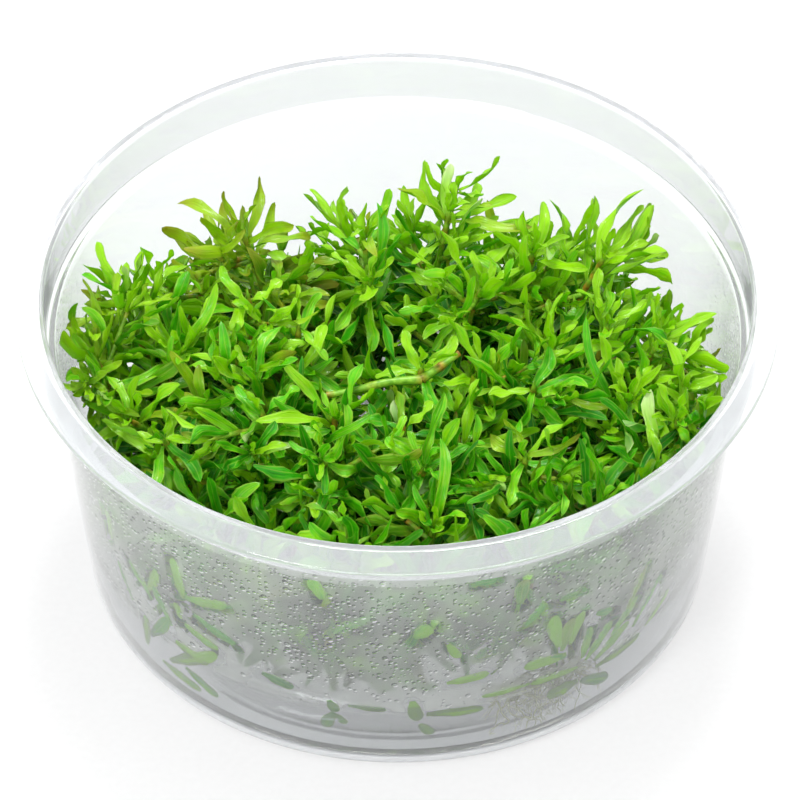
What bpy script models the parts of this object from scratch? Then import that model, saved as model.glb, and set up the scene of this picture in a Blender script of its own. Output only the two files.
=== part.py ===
"""A round clear cup of tissue-cultured water hedge: the cup, its nutrient gel, a tuft of roots and the leafy shoots.

Metres, +Z up, origin at the middle of the cup's foot. The camera side of the cup is -Y.
"""

import itertools
import math
import random

import bmesh
import bpy
from mathutils import Matrix, Vector
from mathutils.bvhtree import BVHTree

# The cup
CUP_SIDES = 44
RIM_RADIUS = 0.0585
CUP_HEIGHT = 0.055
WALL = 0.0008
FLANGE_DROOP = 0.0017
FLANGE_EDGE = 0.001
LIP_OUTER_RADIUS = 0.0557
LIP_INNER_RADIUS = 0.0542
COLLAR_RADIUS = 0.0540
LEDGE_HEIGHT = 0.0474
BODY_TOP_RADIUS = 0.0527
FOOT_CORNER_RADIUS = 0.0485
FOOT_ROUNDING = 0.0052
FOOT_RING_WIDTH = 0.0022
BASE_RECESS = 0.0012
ROUNDING_STEPS = 3

# The gel, and the notch at its edge that holds the root tuft. The tuft spans whole sides of the cup,
# counted from the front towards +X
CLEARANCE = 0.0003
GEL_TOP = 0.0142
ROOTS_FIRST_SIDE = 2
ROOTS_LAST_SIDE = 5
ROOTS_INNER_RADIUS = 0.0385
ROOTS_FLOOR = 0.0036

# The shoots
STEM_THICKNESS = 0.0013
NODE_HEIGHT = 0.0011
BUD_LENGTH = 0.0022
TOP_NODE = 0.92
STEM_TAPER = 0.08
STEM_BEND = (0.2, 0.6)  # how far across and up the stem its bend is pulled
NODE_STEP = 0.24
LEAF_LENGTHS = (0.0115, 0.0155)
LEAF_WIDTHS = (0.0021, 0.0027)
LEAF_THICKNESS = 0.0005
TIP_LEAF_LENGTH = 0.85
TIP_PITCH = (30, 62)  # degrees between a leaf and its stem, in the rosette and below it
LOWER_PITCH = (50, 82)
PITCH_LIMITS = (24, 108)
AIMED_PITCH_LIMITS = (15, 112)
AIMED_SWAY_LIMIT = 38
LEAF_BEND = (-30, 34)
AIMED_BEND = (-15, 36)
LEAF_SWAY = 14
LEAF_TWIST = 28
PITCH_CHANGE = (-16, 13)
BEND_CHANGE = 18
SWAY_CHANGE = 32
SHORTENING = 0.9
LONG_LEAF_STATIONS = ((0.40, 1.00), (0.74, 0.84))  # how far along the leaf, and how wide there
SHORT_LEAF_STATIONS = ((0.55, 1.00),)
LEAF_FREE_START = 0.3  # where a leaf counts as clear of its stem, and its width there
LEAF_FREE_WIDTH = 0.6
LEAF_CEILING = 0.0545
CLEAR_OF_WALL = 0.0006
LEAF_TRIES = 18
STEM_TRIES = 14
STEM_ROOM = 0.0009
STEM_SHIFT = 0.002
AIM_STEPS = 5
AIM_TRIES = 4
AIM_SHIFT = 0.0005
ROLL_STEPS = 12
SEED = 19

# The clump: its tips are lower at the wall and towards the back, and its feet stand closer than its tips
SHOOT_COUNT = 56
CANOPY_RADIUS = 0.0475
CANOPY_HEIGHT = 0.0455
CANOPY_FALL = 0.0035
CANOPY_UNEVENNESS = 0.0045
LEAVES_OVER_TIP = 0.0045
WALL_FOOT_SPREAD = 0.97
TIP_SPACING = 0.0088
FOOT_SPREAD = 0.84
FOOT_LEAN = 0.0045
HOLLOW_HALF_WIDTH = 0.0270
HOLLOW_FRONT = -0.0340
GOLDEN_ANGLE = math.pi * (3 - math.sqrt(5))
SPIRAL_COUNT = 150

# The chosen leaf tips may lie nearer or farther along the way that the camera looks
LOOKING = Vector((0, math.cos(math.radians(44)), -math.sin(math.radians(44))))
SLIDES = (0.0, 0.0015, -0.0015, 0.0030, -0.0030, 0.0045, -0.0045, 0.0060, -0.0060)

# The clump's outline against the back wall, from left to right: x, and how far y + z may reach there
SKYLINE = (
    (-0.0530, 0.0500),
    (-0.0500, 0.0600),
    (-0.0420, 0.0625),
    (-0.0340, 0.0655),
    (-0.0160, 0.0665),
    (-0.0100, 0.0705),
    (0.0000, 0.0735),
    (0.0120, 0.0745),
    (0.0240, 0.0725),
    (0.0300, 0.0690),
    (0.0380, 0.0640),
    (0.0415, 0.0580),
    (0.0440, 0.0510),
    (0.0530, 0.0470),
)

# The shoots that stand out: the tip of each stem
STANDING_SHOOTS = {
    "shoot_back_left": (-0.0244, 0.0225, 0.0470),
    "shoot_far_left": (-0.0431, 0.0098, 0.0442),
    "shoot_left_wall": (-0.0466, -0.0006, 0.0417),
    "shoot_left_buds": (-0.0234, 0.0107, 0.0452),
    "shoot_left_middle": (-0.0153, 0.0040, 0.0442),
    "shoot_back_pair": (-0.0053, 0.0224, 0.0462),
    "shoot_back_middle": (0.0083, 0.0267, 0.0482),
    "shoot_back_right": (0.0210, 0.0184, 0.0467),
    "shoot_right_star": (0.0325, 0.0168, 0.0472),
    "shoot_far_right": (0.0409, -0.0003, 0.0457),
    "shoot_right_wall": (0.0449, -0.0143, 0.0427),
    "shoot_right_node": (0.0356, -0.0109, 0.0447),
    "shoot_middle_star": (0.0209, -0.0104, 0.0457),
    "shoot_middle": (0.0040, -0.0058, 0.0452),
    "shoot_middle_bud": (0.0005, -0.0180, 0.0457),
    "shoot_front_left_fold": (-0.0208, -0.0158, 0.0457),
    "shoot_front_left_node": (-0.0359, -0.0204, 0.0442),
    "shoot_front_node": (-0.0117, -0.0266, 0.0452),
    "shoot_front_bud": (0.0043, -0.0279, 0.0452),
    "shoot_front_right": (0.0194, -0.0253, 0.0452),
}

# Where leaves of theirs end, in the rosette and then in the pair below it
AIMED_LEAVES = {
    "shoot_back_left": (
        (-0.0347, 0.0278, 0.0504),
        (-0.0213, 0.0294, 0.0520),
        (-0.0365, 0.0248, 0.0473),
        (-0.0163, 0.0249, 0.0474),
        (-0.0375, 0.0206, 0.0454),
    ),
    "shoot_far_left": (
        (-0.0466, 0.0174, 0.0498),
        (-0.0494, 0.0153, 0.0477),
        (-0.0430, 0.0139, 0.0463),
        (-0.0448, 0.0164, 0.0488),
    ),
    "shoot_left_wall": (
        (-0.0521, -0.0022, 0.0475),
        (-0.0465, 0.0094, 0.0498),
        (-0.0399, 0.0011, 0.0413),
    ),
    "shoot_left_buds": (
        (-0.0283, 0.0141, 0.0466),
        (-0.0241, 0.0149, 0.0475),
        (-0.0176, 0.0127, 0.0451),
        (-0.0266, 0.0043, 0.0436),
    ),
    "shoot_left_middle": (
        (-0.0196, 0.0079, 0.0460),
        (-0.0127, 0.0089, 0.0471),
        (-0.0082, 0.0046, 0.0427),
        (-0.0166, -0.0047, 0.0426),
    ),
    "shoot_back_pair": (
        (-0.0061, 0.0282, 0.0501),
        (-0.0014, 0.0284, 0.0503),
        (-0.0135, 0.0255, 0.0473),
        (0.0019, 0.0235, 0.0453),
    ),
    "shoot_back_middle": (
        (0.0008, 0.0304, 0.0500),
        (0.0074, 0.0326, 0.0522),
        (0.0129, 0.0307, 0.0502),
        (0.0190, 0.0285, 0.0479),
        (0.0090, 0.0314, 0.0510),
        (0.0050, 0.0186, 0.0466),
    ),
    "shoot_back_right": (
        (0.0211, 0.0241, 0.0505),
        (0.0242, 0.0253, 0.0517),
        (0.0270, 0.0245, 0.0509),
        (0.0159, 0.0215, 0.0478),
        (0.0128, 0.0168, 0.0451),
        (0.0252, 0.0111, 0.0451),
    ),
    "shoot_right_star": (
        (0.0282, 0.0246, 0.0531),
        (0.0334, 0.0264, 0.0536),
        (0.0379, 0.0235, 0.0520),
        (0.0418, 0.0182, 0.0465),
        (0.0254, 0.0205, 0.0489),
        (0.0413, 0.0112, 0.0456),
    ),
    "shoot_far_right": (
        (0.0518, -0.0009, 0.0475),
        (0.0518, -0.0054, 0.0441),
        (0.0396, 0.0049, 0.0488),
        (0.0461, -0.0135, 0.0441),
        (0.0450, 0.0049, 0.0488),
        (0.0371, -0.0091, 0.0441),
    ),
    "shoot_right_wall": (
        (0.0482, -0.0107, 0.0441),
        (0.0460, -0.0207, 0.0411),
    ),
    "shoot_right_node": (
        (0.0394, -0.0071, 0.0464),
        (0.0350, -0.0240, 0.0431),
        (0.0417, -0.0201, 0.0431),
    ),
    "shoot_middle_star": (
        (0.0306, -0.0085, 0.0454),
        (0.0135, -0.0115, 0.0441),
        (0.0178, -0.0211, 0.0441),
        (0.0237, -0.0057, 0.0482),
        (0.0308, -0.0157, 0.0441),
        (0.0156, -0.0068, 0.0471),
    ),
    "shoot_middle": (
        (0.0091, -0.0015, 0.0474),
        (0.0003, -0.0010, 0.0480),
        (-0.0035, -0.0055, 0.0433),
        (0.0064, -0.0163, 0.0436),
    ),
    "shoot_middle_bud": (
        (-0.0009, -0.0137, 0.0479),
        (-0.0050, -0.0165, 0.0449),
        (0.0052, -0.0149, 0.0466),
        (-0.0019, -0.0276, 0.0441),
    ),
    "shoot_front_left_fold": (
        (-0.0149, -0.0125, 0.0468),
        (-0.0253, -0.0122, 0.0471),
        (-0.0229, -0.0211, 0.0441),
        (-0.0141, -0.0179, 0.0441),
    ),
    "shoot_front_left_node": (
        (-0.0453, -0.0177, 0.0447),
        (-0.0334, -0.0154, 0.0470),
        (-0.0374, -0.0304, 0.0426),
        (-0.0292, -0.0282, 0.0426),
        (-0.0421, -0.0244, 0.0426),
    ),
    "shoot_front_node": (
        (-0.0113, -0.0216, 0.0480),
        (-0.0170, -0.0335, 0.0436),
        (-0.0114, -0.0377, 0.0436),
        (-0.0054, -0.0288, 0.0436),
    ),
    "shoot_front_bud": (
        (0.0053, -0.0187, 0.0523),
        (-0.0013, -0.0231, 0.0479),
        (0.0109, -0.0240, 0.0469),
        (0.0003, -0.0367, 0.0436),
        (0.0097, -0.0335, 0.0436),
        (0.0071, -0.0367, 0.0436),
    ),
    "shoot_front_right": (
        (0.0264, -0.0200, 0.0483),
        (0.0141, -0.0224, 0.0459),
        (0.0268, -0.0250, 0.0432),
        (0.0154, -0.0346, 0.0436),
        (0.0214, -0.0356, 0.0436),
        (0.0109, -0.0271, 0.0436),
    ),
}

# Low shoots that press their leaves against the wall
WALL_SHOOTS = {
    "shoot_low_left": (-0.0285, -0.0360, 0.0270),
    "shoot_low_far_left": (-0.0385, -0.0230, 0.0240),
    "shoot_low_right": (0.0270, -0.0365, 0.0270),
    "shoot_low_far_right": (0.0370, -0.0270, 0.0240),
    "shoot_low_front": (-0.0100, -0.0435, 0.0205),
}

MATERIALS = {
    "clear_cup": ((0.90, 0.93, 0.95), 0.25),
    "nutrient_gel": ((0.86, 0.88, 0.84), 0.10),
    "root_threads": ((0.78, 0.76, 0.45), 0.60),
    "leaf_green": ((0.10, 0.45, 0.03), 0.40),
    "leaf_lime": ((0.28, 0.58, 0.03), 0.40),
}


def clear_scene():
    for item in list(bpy.data.objects):
        bpy.data.objects.remove(item)


def make_material(name):
    colour, roughness = MATERIALS[name]
    material = bpy.data.materials.new(name)
    material.use_nodes = True
    shader = material.node_tree.nodes["Principled BSDF"]
    shader.inputs["Base Color"].default_value = (*colour, 1)
    shader.inputs["Roughness"].default_value = roughness
    shader.inputs["Metallic"].default_value = 0
    return material


def add_object(name, mesh_builder, material):
    mesh = bpy.data.meshes.new(name)
    mesh_builder.to_mesh(mesh)
    mesh_builder.free()
    mesh.materials.append(material)
    item = bpy.data.objects.new(name, mesh)
    bpy.context.scene.collection.objects.link(item)
    return item


def turned(profile):
    """A closed solid turned round Z from (radius, height) points that start and end on the axis."""
    shape = bmesh.new()
    rings = []
    for radius, height in profile:
        if radius == 0:
            rings.append([shape.verts.new((0, 0, height))])
            continue
        ring = []
        for side in range(CUP_SIDES):
            turn = math.tau * side / CUP_SIDES
            ring.append(shape.verts.new((radius * math.cos(turn), radius * math.sin(turn), height)))
        rings.append(ring)
    for first, second in zip(rings, rings[1:]):
        for side in range(CUP_SIDES):
            after = (side + 1) % CUP_SIDES
            if len(first) == 1:
                shape.faces.new((first[0], second[after], second[side]))
            elif len(second) == 1:
                shape.faces.new((first[side], first[after], second[0]))
            else:
                shape.faces.new((first[side], first[after], second[after], second[side]))
    bmesh.ops.recalc_face_normals(shape, faces=shape.faces)
    return shape


def root_sector(outline, margin):
    """A closed solid swept along the roots' sides of the cup from a closed outline of (radius, height) points."""
    shape = bmesh.new()
    sections = []
    for side in range(ROOTS_FIRST_SIDE, ROOTS_LAST_SIDE + 1):
        turn = math.tau * side / CUP_SIDES
        if side == ROOTS_FIRST_SIDE:
            turn -= margin
        if side == ROOTS_LAST_SIDE:
            turn += margin
        across = [(radius * math.sin(turn), -radius * math.cos(turn), height) for radius, height in outline]
        sections.append([shape.verts.new(point) for point in across])
    count = len(outline)
    for first, second in zip(sections, sections[1:]):
        for corner in range(count):
            after = (corner + 1) % count
            shape.faces.new((first[corner], first[after], second[after], second[corner]))
    shape.faces.new(sections[0][::-1])
    shape.faces.new(sections[-1])
    bmesh.ops.recalc_face_normals(shape, faces=shape.faces)
    return shape


def wall_slope():
    """How much the body's radius grows for each metre of height."""
    return (BODY_TOP_RADIUS + WALL - FOOT_CORNER_RADIUS) / LEDGE_HEIGHT


def inner_radius(height, clear=0.0):
    """The radius of the cup's inner wall at a height, less a clearance."""
    if height > LEDGE_HEIGHT:
        return COLLAR_RADIUS - clear
    return FOOT_CORNER_RADIUS - WALL + wall_slope() * height - clear


def foot_rounding(offset):
    """The arc between the foot and the wall, moved inwards by an offset, as (radius, height) points going up."""
    radius = FOOT_ROUNDING - offset
    centre_height = FOOT_ROUNDING
    centre_radius = FOOT_CORNER_RADIUS + wall_slope() * centre_height - FOOT_ROUNDING
    points = []
    for step in range(ROUNDING_STEPS + 1):
        turn = math.radians(-90 + 90 * step / ROUNDING_STEPS)
        points.append((centre_radius + radius * math.cos(turn), centre_height + radius * math.sin(turn)))
    return points


def foot_profile(offset):
    """The underside from the axis to the wall, moved up by an offset: a raised middle, a foot ring, the rounding."""
    rounding = foot_rounding(offset)
    slope_shift = offset * (math.sqrt(2) - 1)
    ring_inner = rounding[0][0] - FOOT_RING_WIDTH + slope_shift
    step_radius = ring_inner - BASE_RECESS
    middle_height = BASE_RECESS + offset
    return [(0, middle_height), (step_radius, middle_height), (ring_inner, offset), *rounding]


def cup_profile():
    outer_wall = BODY_TOP_RADIUS + WALL
    collar_outer = COLLAR_RADIUS + WALL
    flange_top = CUP_HEIGHT - FLANGE_DROOP
    flange_slope = FLANGE_DROOP / (RIM_RADIUS - LIP_OUTER_RADIUS)
    flange_root = flange_top - FLANGE_EDGE + (RIM_RADIUS - collar_outer) * flange_slope
    outer = [
        (outer_wall, LEDGE_HEIGHT - 2 * WALL),
        (collar_outer, LEDGE_HEIGHT - WALL),
        (collar_outer, flange_root),
        (RIM_RADIUS, flange_top - FLANGE_EDGE),
        (RIM_RADIUS, flange_top),
        (LIP_OUTER_RADIUS, CUP_HEIGHT),
        (LIP_INNER_RADIUS, CUP_HEIGHT),
        (COLLAR_RADIUS, LEDGE_HEIGHT),
        (BODY_TOP_RADIUS, LEDGE_HEIGHT),
    ]
    return foot_profile(0) + outer + foot_profile(WALL)[::-1]


def build_cup():
    return add_object("cup", turned(cup_profile()), make_material("clear_cup"))


def gel_radius(height):
    """The radius of the gel at a height: the cup's inner wall, less the clearance."""
    if height >= FOOT_ROUNDING:
        return inner_radius(height, CLEARANCE)
    centre_radius = FOOT_CORNER_RADIUS + wall_slope() * FOOT_ROUNDING - FOOT_ROUNDING
    rounding = FOOT_ROUNDING - WALL - CLEARANCE
    return centre_radius + math.sqrt(rounding**2 - (FOOT_ROUNDING - height) ** 2)


def build_gel():
    """The gel fills the foot of the cup, with a notch at its edge for the root tuft."""
    profile = foot_profile(WALL + CLEARANCE)
    profile += [(gel_radius(GEL_TOP), GEL_TOP), (0, GEL_TOP)]
    gel = add_object("nutrient_gel", turned(profile), make_material("nutrient_gel"))
    low, high = ROOTS_FLOOR - CLEARANCE, GEL_TOP + WALL
    near, far = ROOTS_INNER_RADIUS - CLEARANCE, RIM_RADIUS
    notch = root_sector([(near, low), (far, low), (far, high), (near, high)], CLEARANCE / ROOTS_INNER_RADIUS)
    cutter = add_object("notch_cutter", notch, make_material("root_threads"))
    cutter.hide_render = True
    cutter.display_type = "WIRE"
    cut = gel.modifiers.new("notch", "BOOLEAN")
    cut.operation = "DIFFERENCE"
    cut.object = cutter
    return gel


def build_roots():
    """The tuft of roots that runs down in the gel beside the wall."""
    middle = (ROOTS_FLOOR + GEL_TOP) / 2
    outline = [
        (ROOTS_INNER_RADIUS, ROOTS_FLOOR),
        (gel_radius(ROOTS_FLOOR), ROOTS_FLOOR),
        (gel_radius(middle), middle),
        (gel_radius(GEL_TOP), GEL_TOP),
        (ROOTS_INNER_RADIUS, GEL_TOP),
    ]
    return add_object("root_tuft", root_sector(outline, 0), make_material("root_threads"))


def curve_point(base, bend, top, along):
    """A point on the quadratic curve from base to top."""
    rest = 1 - along
    return base * rest * rest + bend * 2 * rest * along + top * along * along


class Shoot:
    """One rooted shoot as it grows: a four-sided stem with crossed pairs of leaves and a rosette at its tip."""

    def __init__(self, name, base, top, roll, node_count):
        self.name = name
        self.roll = roll
        rise = top - base
        across, up = STEM_BEND
        bend = base + Vector((rise.x * across, rise.y * across, rise.z * up))
        first = TOP_NODE - NODE_STEP * (node_count - 1)
        marks = [first + (TOP_NODE - first) * step / (node_count - 1) for step in range(node_count)]
        self.joints = [curve_point(base, bend, top, mark) for mark in marks]
        self.base, self.top = base, top
        self.leaves = {}
        self.targets = {}

    def axis(self, index):
        """The stem's direction at a leaf node."""
        before = self.joints[index - 1] if index else self.base
        after = self.joints[index + 1] if index + 1 < len(self.joints) else self.top
        return (after - before).normalized()

    def sides(self, index):
        """Two directions across the stem, square to its own four flat sides."""
        axis = self.axis(index)
        reference = Vector((math.cos(self.roll), math.sin(self.roll), 0))
        across = (reference - axis * reference.dot(axis)).normalized()
        return across, axis.cross(across)

    def rings(self, margin=0.0):
        """The stem's square rings from its level foot to its tip, two for each leaf node."""
        thickness = STEM_THICKNESS + 2 * margin
        level = Vector((math.cos(self.roll), math.sin(self.roll), 0))
        found = [square(self.base, level, Vector((0, 0, 1)).cross(level), thickness)]
        for index, joint in enumerate(self.joints):
            step = self.axis(index) * NODE_HEIGHT / 2
            slim = 1 - STEM_TAPER * index
            found.append(square(joint - step, *self.sides(index), thickness * slim))
            found.append(square(joint + step, *self.sides(index), thickness * slim))
        return found

    def bud(self):
        last = len(self.joints) - 1
        return self.joints[last] + self.axis(last) * (NODE_HEIGHT / 2 + BUD_LENGTH)

    def outs(self, index):
        """The directions that the stem's four sides face at a leaf node."""
        across, other = self.sides(index)
        return across, other, -across, -other

    def face_targets(self, targets):
        """Rolls the stem so that its sides face the leaf tips it is to reach, and gives each tip a side."""
        last = len(self.joints) - 1
        tip_targets, lower_targets = targets[:4], targets[4:6]
        best = None
        for step in range(ROLL_STEPS):
            self.roll = math.pi / 2 * step / ROLL_STEPS
            miss, sides = best_sides(self, last, (0, 1, 2, 3), tip_targets)
            if best is None or miss < best[0]:
                best = (miss, self.roll, sides)
        _, self.roll, sides = best
        self.targets = {(last, side): target for side, target in sides}
        _, sides = best_sides(self, last - 1, self.leaf_sides(last - 1), lower_targets)
        self.targets.update({(last - 1, side): target for side, target in sides})

    def leaf_sides(self, index):
        """Which of the stem's four sides have a leaf at a node: all at the tip, crossed pairs below it."""
        if index == len(self.joints) - 1:
            return (0, 1, 2, 3)
        return (index % 2, index % 2 + 2)


def best_sides(shoot, index, sides, targets):
    """How the sides of a stem are best shared out among leaf tips: the sum of the misses, and (side, tip) pairs."""
    axis, joint, outs = shoot.axis(index), shoot.joints[index], shoot.outs(index)
    misses = {}
    for side, target in itertools.product(sides, targets):
        ways = [Vector(target) + LOOKING * slide - joint for slide in SLIDES]
        misses[side, target] = min(abs(turn_about(axis, outs[side], way)) for way in ways)
    choices = [list(zip(order, targets)) for order in itertools.permutations(sides, len(targets))]
    sums = [sum(misses[pair] ** 2 for pair in choice) for choice in choices]
    least = min(sums)
    return least, choices[sums.index(least)]


def turn_about(axis, first, second):
    """The angle from one direction to another, seen along an axis."""
    return math.atan2(axis.dot(first.cross(second)), first.dot(second) - axis.dot(first) * axis.dot(second))


def square(centre, across, other, thickness):
    half = thickness / 2
    corners = ((1, -1), (1, 1), (-1, 1), (-1, -1))
    return [centre + across * half * u + other * half * v for u, v in corners]


class Leaf:
    """A bent, slightly twisted blade that grows out of one flat side of a stem."""

    def __init__(self, shoot, index, face, draw):
        self.out = shoot.outs(index)[face]
        self.axis = shoot.axis(index)
        self.root = shoot.joints[index] + self.out * STEM_THICKNESS / 2
        at_tip = index == len(shoot.joints) - 1
        self.widths = LONG_LEAF_STATIONS if at_tip else SHORT_LEAF_STATIONS
        self.length = draw.uniform(*LEAF_LENGTHS) * (TIP_LEAF_LENGTH if at_tip else 1.0)
        self.width = draw.uniform(*LEAF_WIDTHS)
        self.pitch = math.radians(draw.uniform(*(TIP_PITCH if at_tip else LOWER_PITCH)))
        self.bend = math.radians(draw.uniform(*LEAF_BEND))
        self.sway = math.radians(draw.uniform(-LEAF_SWAY, LEAF_SWAY))
        self.twist = math.radians(draw.uniform(-LEAF_TWIST, LEAF_TWIST))

    def vary(self, draw, attempt):
        """A changed direction for another try at finding room."""
        self.pitch += math.radians(draw.uniform(*PITCH_CHANGE))
        self.pitch = min(max(self.pitch, math.radians(PITCH_LIMITS[0])), math.radians(PITCH_LIMITS[1]))
        self.bend += math.radians(draw.uniform(-BEND_CHANGE, BEND_CHANGE))
        self.sway = math.radians(draw.uniform(-SWAY_CHANGE, SWAY_CHANGE))
        if attempt % 3 == 2:
            self.length *= SHORTENING

    def aim(self, target, bend):
        """Turns and stretches the leaf, bent by an angle, so that its tip comes to a target."""
        self.bend = bend
        for _ in range(AIM_STEPS):
            wanted, found = target - self.root, self.stations()[1] - self.root
            self.pitch += self.axis.angle(wanted) - self.axis.angle(found)
            self.sway += turn_about(self.axis, found, wanted)
            self.length *= wanted.length / found.length

    def is_steady(self):
        """Whether the leaf leaves its own side of the stem without crossing its neighbours' necks."""
        lowest, highest = AIMED_PITCH_LIMITS
        return lowest <= math.degrees(self.pitch) <= highest and abs(math.degrees(self.sway)) <= AIMED_SWAY_LIMIT

    def stations(self, margin=0.0):
        """Rings of four corners along the blade, and the point of its tip."""
        start = Matrix.Rotation(self.sway, 3, self.axis) @ self.out
        wide = self.axis.cross(start).normalized()
        place, along, rings = self.root.copy(), 0.0, []
        for share, width in (*self.widths, (1.0, 0.0)):
            lift = self.pitch + self.bend * (along + share) / 2
            heading = (self.axis * math.cos(lift) + start * math.sin(lift)).normalized()
            place = place + heading * self.length * (share - along)
            along = share
            if share == 1.0:
                return rings, place + heading * margin
            turned_wide = Matrix.Rotation(self.twist * share, 3, heading) @ wide
            half_wide = turned_wide * (self.width * width / 2 + margin)
            half_thick = heading.cross(turned_wide).normalized() * (LEAF_THICKNESS / 2 + margin)
            rings.append(
                [
                    place - half_thick - half_wide,
                    place - half_thick + half_wide,
                    place + half_thick + half_wide,
                    place + half_thick - half_wide,
                ]
            )

    def outline(self, margin=0.0):
        """Corners and faces of the free part of the blade, from clear of the stem to the tip."""
        rings, tip = self.stations(margin)
        clear = self.root + (sum(rings[0], Vector()) / 4 - self.root) * LEAF_FREE_START
        wide = (rings[0][1] - rings[0][0]).normalized() * LEAF_FREE_WIDTH * STEM_THICKNESS
        flat = (rings[0][3] - rings[0][0]).normalized() * LEAF_FREE_WIDTH * STEM_THICKNESS
        corners = [clear - flat - wide, clear - flat + wide, clear + flat + wide, clear + flat - wide]
        return closed_tube([corners, *rings], tip)


def closed_tube(rings, tip):
    """Corners and faces of a four-sided tube that starts at a ring and ends in a point."""
    corners = [corner for ring in rings for corner in ring] + [tip]
    faces = [(3, 2, 1, 0)]
    for step in range(len(rings) - 1):
        low, high = 4 * step, 4 * step + 4
        faces += [(low + k, low + (k + 1) % 4, high + (k + 1) % 4, high + k) for k in range(4)]
    last = 4 * (len(rings) - 1)
    faces += [(last + k, last + (k + 1) % 4, len(corners) - 1) for k in range(4)]
    return corners, faces


class Clump:
    """What has grown so far, as search trees, so that what grows next keeps clear of it."""

    def __init__(self):
        self.tips = []
        self.pieces = []

    def add(self, corners, faces):
        self.pieces.append((*bounds(corners), BVHTree.FromPolygons(corners, faces)))

    def is_free(self, corners, faces):
        low, high = bounds(corners)
        tree = BVHTree.FromPolygons(corners, faces)
        for other_low, other_high, other in self.pieces:
            if any(low[k] > other_high[k] or high[k] < other_low[k] for k in range(3)):
                continue
            if tree.overlap(other):
                return False
        return True

    def has_tip_near(self, tip):
        return any((tip - other).xy.length < TIP_SPACING for other in self.tips)


def bounds(corners):
    low = [min(corner[k] for corner in corners) for k in range(3)]
    high = [max(corner[k] for corner in corners) for k in range(3)]
    return low, high


def fits_cup(corners):
    for corner in corners:
        if not GEL_TOP + CLEARANCE / 2 < corner.z < LEAF_CEILING:
            return False
        if corner.xy.length > inner_radius(corner.z, CLEAR_OF_WALL):
            return False
    return True


def skyline(x):
    """How far y + z may reach at x, between the points of the outline."""
    for (left, left_reach), (right, right_reach) in zip(SKYLINE, SKYLINE[1:]):
        if x < right:
            share = max(0.0, (x - left) / (right - left))
            return left_reach + (right_reach - left_reach) * share
    return SKYLINE[-1][1]


def under_skyline(corners):
    return all(corner.y + corner.z < skyline(corner.x) for corner in corners)


def grow_aimed_leaves(shoot, clump, draw):
    """The leaves that end at chosen points, each at the first place along the line of sight that has room."""
    for (index, face), target in shoot.targets.items():
        leaf = Leaf(shoot, index, face, draw)
        for slide, _ in itertools.product(SLIDES, range(AIM_TRIES)):
            shift = LOOKING * slide + Vector([draw.uniform(-1, 1) for _ in range(3)]) * AIM_SHIFT
            leaf.aim(Vector(target) + shift, math.radians(draw.uniform(*AIMED_BEND)))
            corners, faces = leaf.outline(CLEARANCE)
            if leaf.is_steady() and fits_cup(corners) and clump.is_free(corners, faces):
                shoot.leaves[index, face] = leaf
                clump.add(*leaf.outline())
                break


def grow_leaves(shoot, index, clump, draw):
    """Gives one node of the shoot the leaves it lacks, each where there is room for it."""
    for face in shoot.leaf_sides(index):
        if (index, face) in shoot.leaves:
            continue
        leaf = Leaf(shoot, index, face, draw)
        for attempt in range(LEAF_TRIES):
            corners, faces = leaf.outline(CLEARANCE)
            if fits_cup(corners) and under_skyline(corners) and clump.is_free(corners, faces):
                shoot.leaves[index, face] = leaf
                clump.add(*leaf.outline())
                break
            leaf.vary(draw, attempt)


def grow_stem(name, base, top, node_count, clump, draw):
    """One stem, moved a little until it has room, or None."""
    for _ in range(STEM_TRIES):
        shoot = Shoot(name, base, top, draw.uniform(0, math.pi / 2), node_count)
        if name in AIMED_LEAVES:
            shoot.face_targets(AIMED_LEAVES[name])
        corners, faces = closed_tube(shoot.rings(STEM_ROOM), shoot.bud())
        if fits_cup(corners) and clump.is_free(corners, faces):
            clump.add(*closed_tube(shoot.rings(), shoot.bud()))
            clump.tips.append(top)
            return shoot
        shift = Vector((draw.uniform(-1, 1), draw.uniform(-1, 1), 0)) * STEM_SHIFT
        base = base + shift
        top = top + shift / 2
    return None


def foot_below(tip, draw):
    """Where the stem of a tip is rooted: nearer the middle, and not in the hollow behind the front wall."""
    lean = Vector((draw.uniform(-1, 1), draw.uniform(-1, 1), 0)) * FOOT_LEAN
    foot = Vector((tip.x, tip.y, 0)) * FOOT_SPREAD + lean
    if abs(foot.x) < HOLLOW_HALF_WIDTH:
        foot.y = max(foot.y, HOLLOW_FRONT)
    foot.z = GEL_TOP + CLEARANCE
    return foot


def canopy_height(x, y, draw):
    radius = math.hypot(x, y) / CANOPY_RADIUS
    height = min(CANOPY_HEIGHT - CANOPY_FALL * radius**2, skyline(x) - LEAVES_OVER_TIP - y)
    return height - draw.uniform(0, CANOPY_UNEVENNESS)


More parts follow.
